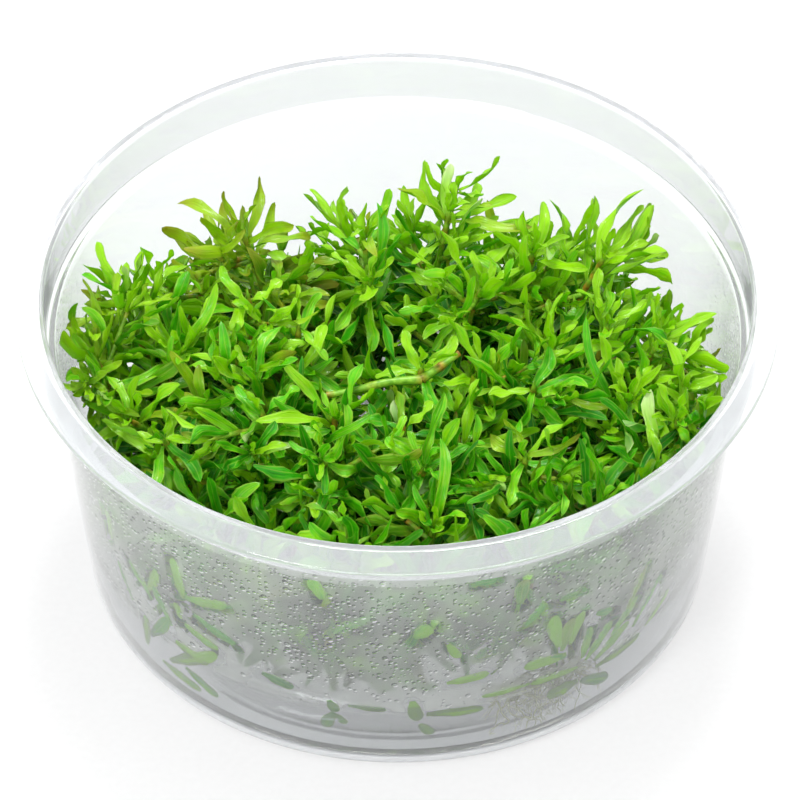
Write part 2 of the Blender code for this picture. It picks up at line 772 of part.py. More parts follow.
def grow_stems(clump, draw):
    """The standing shoots, the low ones at the wall, then a spiral of others wherever there is room."""
    shoots = []
    for name, top in STANDING_SHOOTS.items():
        tip = Vector(top)
        shoots.append(grow_stem(name, foot_below(tip, draw), tip, 3, clump, draw))
    for number in range(SPIRAL_COUNT):
        radius = CANOPY_RADIUS * math.sqrt(1 - number / SPIRAL_COUNT)
        x, y = radius * math.cos(number * GOLDEN_ANGLE), radius * math.sin(number * GOLDEN_ANGLE)
        tip = Vector((x, y, canopy_height(x, y, draw)))
        if len(shoots) < SHOOT_COUNT - len(WALL_SHOOTS) and not clump.has_tip_near(tip):
            name = f"shoot_{len(shoots) - len(STANDING_SHOOTS) + 1:02d}"
            shoots.append(grow_stem(name, foot_below(tip, draw), tip, 2, clump, draw))
    for name, top in WALL_SHOOTS.items():
        tip = Vector(top)
        foot = Vector((tip.x * WALL_FOOT_SPREAD, tip.y * WALL_FOOT_SPREAD, GEL_TOP + CLEARANCE))
        shoots.append(grow_stem(name, foot, tip, 2, clump, draw))
    return [shoot for shoot in shoots if shoot]


def grow_clump(draw):
    """All the stems first, then the aimed leaves, the rosettes at the tips and the pairs of leaves below."""
    clump = Clump()
    shoots = grow_stems(clump, draw)
    for shoot in shoots:
        grow_aimed_leaves(shoot, clump, draw)
    for below_tip in range(3):
        for shoot in shoots:
            index = len(shoot.joints) - 1 - below_tip
            if index >= 0:
                grow_leaves(shoot, index, clump, draw)
    return shoots


def shoot_mesh(shoot):
    """The stem and its leaves as one closed surface: each leaf grows out of a flat side of the stem."""
    shape = bmesh.new()
    rings = [[shape.verts.new(corner) for corner in ring] for ring in shoot.rings()]
    shape.faces.new(rings[0][::-1])
    for step, (low, high) in enumerate(zip(rings, rings[1:])):
        index = step // 2
        for side in range(4):
            after = (side + 1) % 4
            leaf = shoot.leaves.get((index, side)) if step % 2 else None
            corners = (low[side], low[after], high[after], high[side])
            if leaf:
                add_leaf(shape, corners, leaf)
            else:
                shape.faces.new(corners)
    bud = shape.verts.new(shoot.bud())
    for side in range(4):
        shape.faces.new((rings[-1][side], rings[-1][(side + 1) % 4], bud))
    bmesh.ops.recalc_face_normals(shape, faces=shape.faces)
    return shape


def add_leaf(shape, corners, leaf):
    """Carries the four corners of a stem's side out along the blade and closes them at its tip."""
    rings, tip = leaf.stations()
    wide = rings[0][1] - rings[0][0]
    runs_with = (corners[1].co - corners[0].co).dot(wide) > 0
    previous = list(corners)
    for ring in rings:
        ordered = ring if runs_with else [ring[1], ring[0], ring[3], ring[2]]
        current = [shape.verts.new(corner) for corner in ordered]
        for side in range(4):
            after = (side + 1) % 4
            shape.faces.new((previous[side], previous[after], current[after], current[side]))
        previous = current
    point = shape.verts.new(tip)
    for side in range(4):
        shape.faces.new((previous[side], previous[(side + 1) % 4], point))


def build_shoots():
    shoots = grow_clump(random.Random(SEED))
    materials = [make_material("leaf_green"), make_material("leaf_lime")]
    for number, shoot in enumerate(shoots):
        add_object(shoot.name, shoot_mesh(shoot), materials[number % 2])
    print(f"{len(shoots)} shoots, {sum(len(shoot.leaves) for shoot in shoots)} leaves")


clear_scene()
build_cup()
build_gel()
build_roots()
build_shoots()
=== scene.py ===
import itertools
import math
import random

import bmesh
import bpy
import numpy as np
from mathutils import Matrix, Vector


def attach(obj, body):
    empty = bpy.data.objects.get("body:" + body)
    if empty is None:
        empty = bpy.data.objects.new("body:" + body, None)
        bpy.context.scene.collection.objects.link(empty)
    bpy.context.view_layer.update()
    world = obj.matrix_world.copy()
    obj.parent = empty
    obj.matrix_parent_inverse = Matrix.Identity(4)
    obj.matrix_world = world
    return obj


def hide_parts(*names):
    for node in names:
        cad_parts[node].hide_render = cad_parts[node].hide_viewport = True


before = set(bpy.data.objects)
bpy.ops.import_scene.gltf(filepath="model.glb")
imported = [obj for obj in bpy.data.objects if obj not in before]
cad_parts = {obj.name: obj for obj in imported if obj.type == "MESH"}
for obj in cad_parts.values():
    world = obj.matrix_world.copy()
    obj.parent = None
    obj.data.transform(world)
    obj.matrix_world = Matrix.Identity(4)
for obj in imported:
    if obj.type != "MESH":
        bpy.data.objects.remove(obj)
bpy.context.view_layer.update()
print("frame loaded:", len(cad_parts), "nodes")

mm = 0.001


def clamped(value):
    return min(1.0, max(0.0, value))


def onCurve(root, middle, tip, share):
    return root * (1 - share) ** 2 + middle * 2 * share * (1 - share) + tip * share ** 2


# Tools for meshes, trees and materials

def linearColour(code):
    channels = [int(code[start:start + 2], 16) / 255 for start in (1, 3, 5)]
    return (*[c / 12.92 if c <= 0.04045 else ((c + 0.055) / 1.055) ** 2.4 for c in channels], 1.0)


class Wire:
    # an output of a node. A sign between two wires, or a wire and a number, adds the node that works it out
    def __init__(self, node, key=0):
        self.node, self.tree, self.socket = node, node.id_data, node.outputs[key]

    def __getitem__(self, key):
        return Wire(self.node, key)

    def maths(self, operation, *others, **settings):
        return addNode(self.tree, "ShaderNodeMath", (self, *others), operation=operation, **settings)

    def __add__(self, other):
        return self.maths("ADD", other)

    def __sub__(self, other):
        return self.maths("SUBTRACT", other)

    def __mul__(self, other):
        return self.maths("MULTIPLY", other)

    def __truediv__(self, other):
        return self.maths("DIVIDE", other)

    def vectors(self, operation, *others):
        return addNode(self.tree, "ShaderNodeVectorMath", (self, *others), operation=operation)

    def scaled(self, factor):
        return addNode(self.tree, "ShaderNodeVectorMath", {0: self, 3: factor}, operation="SCALE")

    def spread(self, start, end, low, high, **settings):
        # low where the wire is at start, high where it is at end, and no further
        return addNode(self.tree, "ShaderNodeMapRange", (self, start, end, low, high), **settings)

    def mix(self, first, second, kind="RGBA"):
        # from the first to the second as the wire goes from 0 to 1
        place, result = {"FLOAT": (2, 0), "VECTOR": (4, 1), "RGBA": (6, 2)}[kind]
        values = {0: self, place: first, place + 1: second}
        return addNode(self.tree, "ShaderNodeMix", values, data_type=kind)[result]

    def ramp(self, *stops):
        return addNode(self.tree, "ShaderNodeValToRGB", [self], stops=stops)

    def axes(self):
        parts = addNode(self.tree, "ShaderNodeSeparateXYZ", [self])
        return parts[0], parts[1], parts[2]

    def noise(self, scale, detail):
        return addNode(self.tree, "ShaderNodeTexNoise", {"Vector": self, "Scale": scale, "Detail": detail})

    def bump(self, strength, distance):
        values = {"Strength": strength, "Distance": distance, "Height": self}
        return addNode(self.tree, "ShaderNodeBump", values)


def fill(node, inputs):
    # a number, a colour code or a wire for each of the node's inputs, or for its first ones in order
    for key, value in inputs.items() if isinstance(inputs, dict) else enumerate(inputs):
        if isinstance(value, Wire):
            node.id_data.links.new(value.socket, node.inputs[key])
        else:
            isColour = isinstance(value, str) and value.startswith("#")
            node.inputs[key].default_value = linearColour(value) if isColour else value


def addNode(tree, kind, inputs=(), stops=(), curve=(), **settings):
    node = tree.nodes.new(kind)
    for name, value in settings.items():
        setattr(node, name, value)
    if stops:  # of a colour ramp: (position, colour code)
        while len(node.color_ramp.elements) < len(stops):
            node.color_ramp.elements.new(0.5)
        for element, (position, colour) in zip(node.color_ramp.elements, stops):
            element.position, element.color = position, linearColour(colour)
    if curve:  # of a float curve: (position, value)
        points = node.mapping.curves[0].points
        while len(points) < len(curve):
            points.new(0.5, 0.5)
        for point, place in zip(points, curve):
            point.location = place
        node.mapping.update()
    fill(node, inputs)
    return Wire(node)


def newMaterial(name):
    # with its tree, its shader and the places on the object
    material = bpy.data.materials.new(name)
    material.use_nodes = True
    tree = material.node_tree
    return material, tree, tree.nodes["Principled BSDF"], addNode(tree, "ShaderNodeTexCoord")["Object"]


def coverWith(material, shader, share, cover):
    # the share of the cover over the shader
    tree = material.node_tree
    both = addNode(tree, "ShaderNodeMixShader", (share, Wire(shader), cover))
    fill(tree.nodes["Material Output"], {"Surface": both})


def attributeOf(tree, name):
    return addNode(tree, "ShaderNodeAttribute", attribute_name=name)["Fac"]


def newTree(name, inputs):
    kinds = {float: "NodeSocketFloat", int: "NodeSocketInt",
             bpy.types.Object: "NodeSocketObject", bpy.types.Material: "NodeSocketMaterial"}
    tree = bpy.data.node_groups.new(name, "GeometryNodeTree")
    for way in ("INPUT", "OUTPUT"):
        tree.interface.new_socket("Geometry", in_out=way, socket_type="NodeSocketGeometry")
    for label, value in inputs.items():
        tree.interface.new_socket(label, in_out="INPUT", socket_type=kinds[type(value)]).default_value = value
    return tree, Wire(tree.nodes.new("NodeGroupInput")), tree.nodes.new("NodeGroupOutput")


def readAttribute(tree, name, kind="FLOAT"):
    return addNode(tree, "GeometryNodeInputNamedAttribute", {"Name": name}, data_type=kind)


def tubesAlong(tree, edges, sides, girth):
    line = addNode(tree, "GeometryNodeMeshToCurve", [edges])
    circle = addNode(tree, "GeometryNodeCurvePrimitiveCircle", {"Resolution": sides, "Radius": 1.0})
    return addNode(tree, "GeometryNodeCurveToMesh", {"Curve": line, "Profile Curve": circle, "Scale": girth,
                                                     "Fill Caps": True})


def meshOf(shape, name):
    mesh = bpy.data.meshes.new(name)
    shape.to_mesh(mesh)
    shape.free()
    return mesh


def addPiece(name, mesh):
    piece = bpy.data.objects.new(name, mesh)
    bpy.context.scene.collection.objects.link(piece)
    return piece


def treeToPiece(base, tree, name, used):
    # runs the tree on the base mesh and keeps what it makes as a plain mesh, without the attributes it used
    base.modifiers.new(tree.name, "NODES").node_group = tree
    depsgraph = bpy.context.evaluated_depsgraph_get()
    mesh = bpy.data.meshes.new_from_object(base.evaluated_get(depsgraph), preserve_all_data_layers=True,
                                           depsgraph=depsgraph)
    bpy.data.objects.remove(base)
    for attribute in used:
        if attribute in mesh.attributes:
            mesh.attributes.remove(mesh.attributes[attribute])
    return addPiece(name, mesh)


def setAttribute(mesh, name, values, kind="FLOAT"):
    field = "value" if kind == "FLOAT" else "vector"
    mesh.attributes.new(name, kind, "POINT").data.foreach_set(field, np.array(values, float).ravel())


def roundedLine(corners, steps=6):
    # (radius, height, rounding) corners in mm turned to a smooth line of (radius, height) points in metres
    line = []
    for number, (radius, height, rounding) in enumerate(corners):
        here = Vector((radius, height))
        if rounding == 0 or number in (0, len(corners) - 1):
            line.append(here * mm)
            continue
        before = Vector(corners[number - 1][:2]) - here
        after = Vector(corners[number + 1][:2]) - here
        half = before.angle(after) / 2
        reach = min(rounding / math.tan(half), before.length * 0.49, after.length * 0.49)
        start, end = here + before.normalized() * reach, here + after.normalized() * reach
        for step in range(steps + 1):
            line.append(onCurve(start, here, end, step / steps) * mm)
    return line


def turnedMesh(name, line, sides):
    # a solid of revolution round Z from a line that starts and ends on the axis
    shape = bmesh.new()
    verts = [shape.verts.new((radius, 0, height)) for radius, height in line]
    edges = [shape.edges.new(pair) for pair in zip(verts, verts[1:])]
    bmesh.ops.spin(shape, geom=verts + edges, axis=(0, 0, 1), cent=(0, 0, 0), steps=sides,
                   angle=math.tau, use_duplicate=False)
    bmesh.ops.remove_doubles(shape, verts=shape.verts, dist=2e-6)
    bmesh.ops.recalc_face_normals(shape, faces=shape.faces)
    for face in shape.faces:
        face.smooth = True
    return meshOf(shape, name)


# The cup: clear polypropylene, thin-wall moulded

cupLook = {
    "sides": 360,
    "corners": [  # (radius, height, rounding) in mm: underside, wall, collar, flange, lip, then the inside
        (0, 1.2, 0), (40.45, 1.2, 0.5), (41.65, 0, 0.5), (48.5, 0, 5.2), (53.5, 45.8, 0.6), (54.8, 46.6, 0.5),
        (54.8, 54.45, 0.3), (58.5, 52.3, 0.4), (58.5, 53.3, 0.5), (55.7, 55, 0.7), (54.2, 55, 0.5),
        (54.0, 47.4, 0.5), (52.7, 47.4, 0.5),
        *[(47.6956 + 0.10558 * 0.65 * step, 0.65 * step, 0) for step in range(71, 20, -1)],  # for the fog
        (47.78, 0.8, 4.4), (41.98, 0.8, 0.5), (40.78, 2.0, 0.5), (0, 2.0, 0)],
    "insideFoot": 47.7,  # mm: the inner wall's radius if it went down to the table
    "insideSlope": 0.1055,  # how much a height of 1 mm adds to it
    "ledge": 47.4 * mm,
    "clear": "#F5F7F9",
    "milk": (0.26, 0.04, 0.18),  # how much light the plastic scatters: in the foot, the wall and the rim
    "footTop": 4.0,
    "rimFoot": 46.5,
    "fog": "#E3E6E0",
    "fogAmount": (0.22, 0.56),  # of the haze, from its thin to its thick patches
    "fogHeights": (14.6, 47.0),
    "drops": ((1150.0, 0.52, 1.1), (620.0, 0.40, 0.60), (270.0, 0.22, 0.25)),  # layers, 0.9 to 4 mm apart
}


def innerRadius(height):
    # of the cup's wall below the ledge, in metres
    return (cupLook["insideFoot"] + cupLook["insideSlope"] * height / mm) * mm


def placeAt(turn, radius, height):
    return Vector((radius * math.sin(turn), -radius * math.cos(turn), height))


def turnOf(place):
    # in degrees from the front towards +X
    return math.degrees(math.atan2(place.x, -place.y))


def makePolypropylene(name, milk):
    # Clear polypropylene, injection moulded: glossy, faintly milky, never quite flat, so reflections waver
    material, tree, shader, place = newMaterial(name)
    waver = place.noise(90.0, 2.0)  # 11 mm flow marks
    fine = place.noise(900.0, 3.0)  # 1 mm scuffs
    fill(shader, {"Base Color": cupLook["clear"], "Transmission Weight": 1 - milk, "IOR": 1.49,
                  "Roughness": fine.spread(0.3, 0.75, 0.01, 0.05), "Normal": waver.bump(0.12, 0.5 * mm)})
    return material


def dropLayer(place, wet, scale, largest, amount):
    # condensed drops on the cells of a Voronoi pattern. Each drop's rim is painted white along its lower edge
    # and dark along its upper one, a painted highlight and painted shade for the pale floor and the dark
    # plants that a small lens would show. Gives the cover, the painted highlight edges and the painted shade
    # edges
    cells = addNode(place.tree, "ShaderNodeTexVoronoi", {"Vector": place, "Scale": scale, "Randomness": 0.85})
    chance = addNode(place.tree, "ShaderNodeSeparateColor", [cells["Color"]])
    taken = chance[1].maths("LESS_THAN", wet.spread(0.30, 0.56, 0.0, amount))
    share = cells["Distance"] / chance[0].spread(0.0, 1.0, largest * 0.4, largest)
    cover = share.spread(1.0, 0.85, 0.0, 1.0) * taken
    edge = share.spread(0.25, 0.7, 0.0, 1.0) * cover
    offset = place.vectors("SUBTRACT", cells["Position"]).vectors("NORMALIZE")
    lower = offset.vectors("DOT_PRODUCT", (0.45, 0.0, -0.89))["Value"]
    # painted highlight on the lower edge of each drop's rim, painted shade on its upper edge
    return cover, lower.spread(0.35, 0.75, 0.0, 1.0) * edge, lower.spread(0.1, -0.5, 0.15, 1.0) * edge


def makeFoggedWall():
    # The same plastic where moisture has condensed inside: a fine grey haze, patchy, that veils what stands
    # behind it, wiped off where a leaf lies on it, and thousands of small drops, each with a painted shade on
    # its upper edge and a painted highlight on its lower one
    material, tree, shader, place = newMaterial("foggedPolypropylene")
    x, y, z = place.axes()
    patches = place.noise(75.0, 3.0)  # 13 mm patches
    drops = addNode(tree, "ShaderNodeSeparateColor", [patches["Color"]])[1]
    drops += z.spread(20 * mm, 42 * mm, -0.10, 0.22)  # more near the top
    layers = [dropLayer(place, drops, *layer) for layer in cupLook["drops"]]
    cover, paintedGlint, dark = [small.maths("MAXIMUM", middling).maths("MAXIMUM", large)
                           for small, middling, large in zip(*layers)]
    wet = attributeOf(tree, "wiped").spread(0.0, 1.0, 1.0, 0.0)
    wet *= y.spread(22 * mm, -8 * mm, 0.0, 1.0)  # the back of the cup is dry
    haze = patches.spread(0.34, 0.66, *cupLook["fogAmount"])
    # the painted highlight and painted shade on the drop edges also thicken the veil there
    amount = paintedGlint.maths("MULTIPLY_ADD", 0.95, cover.mix(haze, 0.05, "FLOAT"))
    amount = dark.maths("MULTIPLY_ADD", 0.85, amount, use_clamp=True) * wet
    rough = haze.maths("MULTIPLY_ADD", 0.35, 0.02).maths("MULTIPLY_ADD", wet, 0.02)
    fill(shader, {"Base Color": "#F4F7F8", "Transmission Weight": 0.95, "IOR": 1.49, "Roughness": rough})
    # painted highlight and painted shade: the veil is painted white (#FFFFFF) on each drop's lower edge and
    # dark (#2E342E) on its upper edge
    colour = paintedGlint.mix(dark.mix(cupLook["fog"], "#2E342E"), "#FFFFFF")
    veil = addNode(tree, "ShaderNodeBsdfDiffuse", {"Color": colour})
    coverWith(material, shader, amount, veil)
    return material


def wipedBy(turn, height, leaf):
    # how much of the moisture at a place on the wall (degrees, mm) a leaf that lies there takes away
    degree = 0.88  # mm along the wall
    start, end = Vector((leaf[0] * degree, leaf[1])), Vector((leaf[2] * degree, leaf[3]))
    here = Vector((turn * degree, height))
    along = clamped((here - start).dot(end - start) / (end - start).length_squared)
    off = (here - start.lerp(end, along)).length / (leaf[4] * 1.1)
    return clamped((1.5 - off) * 2)


def makeCup():
    mesh = turnedMesh("cupShell", roundedLine(cupLook["corners"]), cupLook["sides"])
    foot, wall, rim = cupLook["milk"]
    for material in (makePolypropylene("mouldedPolypropylene", wall), makeFoggedWall(),
                     makePolypropylene("mouldedPolypropyleneFoot", foot),
                     makePolypropylene("mouldedPolypropyleneRim", rim)):
        mesh.materials.append(material)
    fogFoot, fogTop = cupLook["fogHeights"]
    for polygon in mesh.polygons:
        height, out = polygon.center.z / mm, polygon.center.xy.normalized()
        if polygon.normal.xy.dot(out) < -0.5 and fogFoot < height < fogTop:
            polygon.material_index = 1
        elif height < cupLook["footTop"]:
            polygon.material_index = 2
        elif height > cupLook["rimFoot"]:
            polygon.material_index = 3
    wiped = [0.0] * len(mesh.vertices)
    pressed = [leaf for leaves in pressedLeaves.values() for leaf in leaves]
    for number, vertex in enumerate(mesh.vertices):
        place = vertex.co
        if abs(place.xy.length - innerRadius(place.z)) < 0.1 * mm and place.y < -20 * mm:
            wiped[number] = max(wipedBy(turnOf(place), place.z / mm, leaf) for leaf in pressed)
    setAttribute(mesh, "wiped", wiped)
    cup = addPiece("cupShell", mesh)
    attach(cup, "root")
    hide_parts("cup")
    print("cup turned:", len(mesh.polygons), "faces")


# The nutrient gel: agar, poured and set in the foot of the cup

gelLook = {
    "sides": 200,
    "corners": [  # the same room as its solid, without the notch, and drawn up a little at the wall
        (0, 2.3, 0), (40.9, 2.3, 0.4), (42.1, 1.1, 0.4), (47.5, 1.1, 4.1), (48.98, 15.0, 0), (48.7, 14.55, 0),
        (47.9, 14.25, 0), (46.5, 14.2, 0), (0, 14.2, 0)],
    "tint": "#F3EFD4",
    "density": 7.0,
}


def makeGelMaterial():
    # Agar gel: clear water held in a jelly, very slightly warm and cloudy, with a wet surface not quite level
    material, tree, shader, place = newMaterial("setAgarGel")
    swell = place.noise(160.0, 2.0)  # 6 mm swells
    fill(shader, {"Base Color": "#FFFFFF", "Transmission Weight": 0.89, "Roughness": 0.04, "IOR": 1.34,
                  "Normal": swell.bump(0.14, 0.5 * mm)})
    absorb = addNode(tree, "ShaderNodeVolumeAbsorption",
                     {"Color": gelLook["tint"], "Density": gelLook["density"]})
    fill(tree.nodes["Material Output"], {"Volume": absorb})
    return material


def makeGel():
    mesh = turnedMesh("agarGel", roundedLine(gelLook["corners"]), gelLook["sides"])
    mesh.materials.append(makeGelMaterial())
    gel = addPiece("agarGel", mesh)
    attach(gel, "root")
    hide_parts("nutrient_gel")
    print("gel poured:", len(mesh.polygons), "faces")


# The leaves: one blank, and a tree that bends a copy of it along each leaf's own curve

leafLook = {
    "alongSteps": (0, 0.07, 0.16, 0.27, 0.38, 0.49, 0.60, 0.71, 0.81, 0.90, 0.96),
    "across": (-1, -0.5, 0, 0.5, 1),  # upper side from edge to edge
    "upperHeights": (0, 0.10, 0.02, 0.10, 0),  # a groove along the midrib, mm
    "keel": -0.24,  # the midrib under it, mm
    "outline": ((0, 0.40), (0.10, 0.50), (0.25, 0.74), (0.45, 0.93), (0.66, 1.0), (0.82, 0.90), (0.92, 0.66),
                (0.97, 0.42), (1.0, 0.10)),  # a strap, widest past the middle, with a blunt tip
    "fold": 0.46,  # how far the two halves fold up, as a share of the half width
    "wave": 0.62,  # how far the edges ripple, the same
    "waves": 1.8,  # ripples along a leaf
    "snake": 0.75,  # how far the whole blade wanders sideways, a share of the half width too
    "greens": ((0.0, "#A8E60E"), (0.25, "#68D206"), (0.5, "#38AE08"), (0.75, "#1E8208"), (1.0, "#0E5006")),
    "vein": "#B9DF52",
    "rind": "#4C5A0C",
    "dry": "#B0A428",
    "bleached": "#DCE8B4",
    "glow": "#A8F000",
}

# What a leaf's base point says: for the tree that bends it, and for its material
growthSpots = ("bladeRoot", "bladeMiddle", "bladeTip", "rootSide", "tipSide")
growthFacts = ("isBlade", "girth", "halfWidth", "curl", "phase", "depth", "freedom")
colourFacts = ("age", "tone", "blush", "pale")


def makeLeafBlank():
    # x runs across, y along and z up, on an attribute that the tree reads
    shape = bmesh.new()
    across = [*leafLook["across"], 0]
    heights = [*leafLook["upperHeights"], leafLook["keel"]]
    rings = [[shape.verts.new((u, v, h)) for u, h in zip(across, heights)] for v in leafLook["alongSteps"]]
    pairs = [(side, (side + 1) % len(across)) for side in range(len(across))]
    for low, high in zip(rings, rings[1:]):
        for side, after in pairs:
            shape.faces.new((low[side], low[after], high[after], high[side]))
    tip = shape.verts.new((0, 1, 0))
    for side, after in pairs:
        shape.faces.new((rings[-1][side], rings[-1][after], tip))
    shape.faces.new(rings[0][::-1])
    uv = shape.loops.layers.uv.new("bladeUV")
    for face in shape.faces:
        face.smooth = True
        for loop in face.loops:
            loop[uv].uv = ((loop.vert.co.x + 1) / 2, loop.vert.co.y)
    for edge in shape.edges:  # the margins stay crisp
        if all(abs(v.co.x) == 1 or v.co.y == 1 for v in edge.verts):
            edge.smooth = False
    mesh = meshOf(shape, "leafBlank")
    setAttribute(mesh, "blankPlace", [v.co for v in mesh.vertices], "FLOAT_VECTOR")
    return addPiece("leafBlank", mesh)


def makeShootTree(blank, leafMaterial, stemMaterial):
    tree, given, made = newTree("shootGrowth", {
        "Leaf blank": blank, "Leaf material": leafMaterial, "Stem material": stemMaterial,
        "Fold": leafLook["fold"], "Wave": leafLook["wave"], "Waves": leafLook["waves"],
        "Snake": leafLook["snake"], "Stem sides": 8})
    root, middle, tip, rootSide, tipSide, blankPlace = [
        readAttribute(tree, name, "FLOAT_VECTOR") for name in (*growthSpots, "blankPlace")]
    isBlade, girth, halfWidth, curl, phase, depth, freedom = [
        readAttribute(tree, name) for name in growthFacts]
    stem = tubesAlong(tree, given["Geometry"], given["Stem sides"], girth)
    stem = addNode(tree, "GeometryNodeSetMaterial", {"Geometry": stem, "Material": given["Stem material"]})

    # a blank on each leaf point
    points = addNode(tree, "GeometryNodeSeparateGeometry", (given["Geometry"], isBlade), domain="POINT")
    points = addNode(tree, "GeometryNodeMeshToPoints", [points])
    source = addNode(tree, "GeometryNodeObjectInfo", {"Object": given["Leaf blank"], "As Instance": True})
    blades = addNode(tree, "GeometryNodeInstanceOnPoints", {"Points": points, "Instance": source["Geometry"]})
    blades = addNode(tree, "GeometryNodeRealizeInstances", [blades])

    # its place on the leaf's curve: root, middle and tip are the points of a quadratic curve
    across, along, height = blankPlace.axes()
    firstHalf, secondHalf = along.mix(root, middle, "VECTOR"), along.mix(middle, tip, "VECTOR")
    spine = along.mix(firstHalf, secondHalf, "VECTOR")
    heading = secondHalf.vectors("SUBTRACT", firstHalf).vectors("NORMALIZE")
    wanted = along.mix(rootSide, tipSide, "VECTOR")
    up = wanted.vectors("CROSS_PRODUCT", heading).vectors("NORMALIZE")
    side = heading.vectors("CROSS_PRODUCT", up)

    # outline, fold, ripple and curl
    outline = addNode(tree, "ShaderNodeFloatCurve", {"Value": along}, curve=leafLook["outline"])
    sideways = outline * halfWidth * across
    turns = (given["Waves"] * math.tau).maths("MULTIPLY_ADD", along, phase)
    ripple = across.maths("MULTIPLY_ADD", 1.1, turns).maths("SINE")  # the two edges out of step
    lift = ripple.maths("MULTIPLY_ADD", given["Wave"], given["Fold"]) * sideways.maths("ABSOLUTE") * freedom
    lift = lift + height * depth * outline + along.maths("POWER", 3.0) * curl
    wander = along.maths("MULTIPLY_ADD", 5.2, phase).maths("SINE") * along * given["Snake"] * freedom
    sideways = wander.maths("MULTIPLY_ADD", halfWidth, sideways)
    place = spine.vectors("ADD", side.scaled(sideways)).vectors("ADD", up.scaled(lift))
    blades = addNode(tree, "GeometryNodeSetPosition", {"Geometry": blades, "Position": place})
    blades = addNode(tree, "GeometryNodeSetMaterial",
                     {"Geometry": blades, "Material": given["Leaf material"]})

    joined = addNode(tree, "GeometryNodeJoinGeometry")
    for part in (blades, stem):
        fill(joined.node, [part])
    fill(made, [addNode(tree, "GeometryNodeRealizeInstances", [joined])])
    return tree


def makeLeafMaterial():
    # Young leaf grown under water: thin, soft and full of light, so that it glows yellow-green where light
    # comes through, with fine lengthwise veins, a pale midrib and margin, a wet gloss and darker old leaves.
    # Its age also carries painted light and shade: paler at the back and edge of the clump, darker high at
    # the front
    material, tree, shader, place = newMaterial("waterHedgeLeaf")
    across, along, none = addNode(tree, "ShaderNodeUVMap", uv_map="bladeUV").axes()
    age, tone, blush, pale = [attributeOf(tree, name) for name in colourFacts]
    own = tone * 60.0  # another piece of pattern on each leaf
    lengthwise = addNode(tree, "ShaderNodeCombineXYZ", (across, along, own))
    veins = lengthwise.vectors("MULTIPLY", (11.0, 2.2, 1.0)).noise(1.0, 2.0)  # 0.2 mm streaks
    mottle = place.noise(420.0, 2.0)  # 2.4 mm mottling
    # the age attribute holds each leaf's age with painted light and shade for its place in the clump added
    ripe = tone.maths("MULTIPLY_ADD", 0.44, mottle.maths("MULTIPLY_ADD", 0.50, age))
    ripe = veins.maths("MULTIPLY_ADD", 0.60, ripe) - 0.75
    green = ripe.ramp(*leafLook["greens"])
    off = (across - 0.5).maths("ABSOLUTE")
    rib = off.spread(0.07, 0.01, 0.0, 0.42, interpolation_type="SMOOTHSTEP")
    margin = off.spread(0.34, 0.44, 0.0, 0.5)
    green = rib.maths("MAXIMUM", margin).mix(green, leafLook["vein"])
    rind = off.spread(0.45, 0.49, 0.0, 0.75) * tone  # a thin brown edge, on some more
    green = rind.mix(green, leafLook["rind"])
    green = (along.spread(0.70, 1.0, 0.40, 1.0) * blush).mix(green, leafLook["dry"])
    green = (along.spread(0.55, 0.95, 0.1, 0.9) * pale).mix(green, leafLook["bleached"])
    glow = addNode(tree, "ShaderNodeMix", {0: 0.35, 6: green, 7: leafLook["glow"]}, data_type="RGBA")[2]
    fill(shader, {"Base Color": green, "Roughness": mottle.spread(0.3, 0.7, 0.26, 0.46), "IOR": 1.42,
                  "Coat Weight": 0.25, "Coat Roughness": 0.12, "Normal": veins.bump(0.8, 0.3 * mm)})
    through = addNode(tree, "ShaderNodeBsdfTranslucent", {"Color": glow})
    coverWith(material, shader, 0.40, through)
    return material


def makeStemMaterial():
    # Soft green stem, paler than the leaves, with orange-brown scars at its leaf nodes
    material, tree, shader, place = newMaterial("waterHedgeStem")
    scar = attributeOf(tree, "blush")
    grain = place.noise(1200.0, 3.0)  # 0.8 mm streaks
    green = grain.ramp((0.3, "#5A9416"), (0.7, "#8CC034"))
    rust = grain.ramp((0.35, "#7A4212"), (0.65, "#C08428"))
    fill(shader, {"Base Color": scar.mix(green, rust), "Roughness": 0.4, "IOR": 1.42,
                  "Normal": grain.bump(0.3, 0.1 * mm)})
    return material


# The shoots: each follows its own solid's stem and leaves, with more leaves and branches between them

shootLook = {
    "seed": 11,
    "stemRadius": 0.60 * mm,
    "rootDepth": 3.0 * mm,
    "nodeSpacing": 2.6 * mm,
    "firstNode": 0.10,  # how far up the stem the added leaves start
    "solidLeafWidth": 0.80,  # the solids' leaves are this much too wide
    "leafLengths": (8.5 * mm, 14.5 * mm),
    "leafWidths": (1.3 * mm, 2.2 * mm),
    "lowLeaves": 22,  # old dark leaves near the foot of each stem, which close the view to the gel
    "lowLengths": (8 * mm, 13 * mm),
    "lowWidths": (1.6 * mm, 2.6 * mm),
    "branches": (3, 6),
    "branchLengths": (6.5 * mm, 11.5 * mm),
    "tuftLeaves": 5,
    "sideShoots": 0.18,  # chance of a young side shoot at a node
    "growing": 5.5 * mm,  # leaves nearer to the tip than this aren't full grown
    "ageing": 26 * mm,  # and at this distance they are old
    "dryLeaves": 0.07,
    "bleachedLeaves": 0.015,
    "leafFloor": 15.0 * mm,
    "leafCeiling": 54.2 * mm,
    "aboveSolid": 1.5 * mm,  # how far added leaves may stand above the solid's own, or behind them
    "clearOfWall": 1.1 * mm,
    "pressedDepth": 0.45 * mm,
    "candidates": 8,
    "cell": 2.5 * mm,
    "smooth": 1.3 * mm,  # between the points of a stem
}

oliveShoots = {"shoot_back_left": 1.0, "shoot_left_wall": 0.35, "shoot_right_star": 0.15}

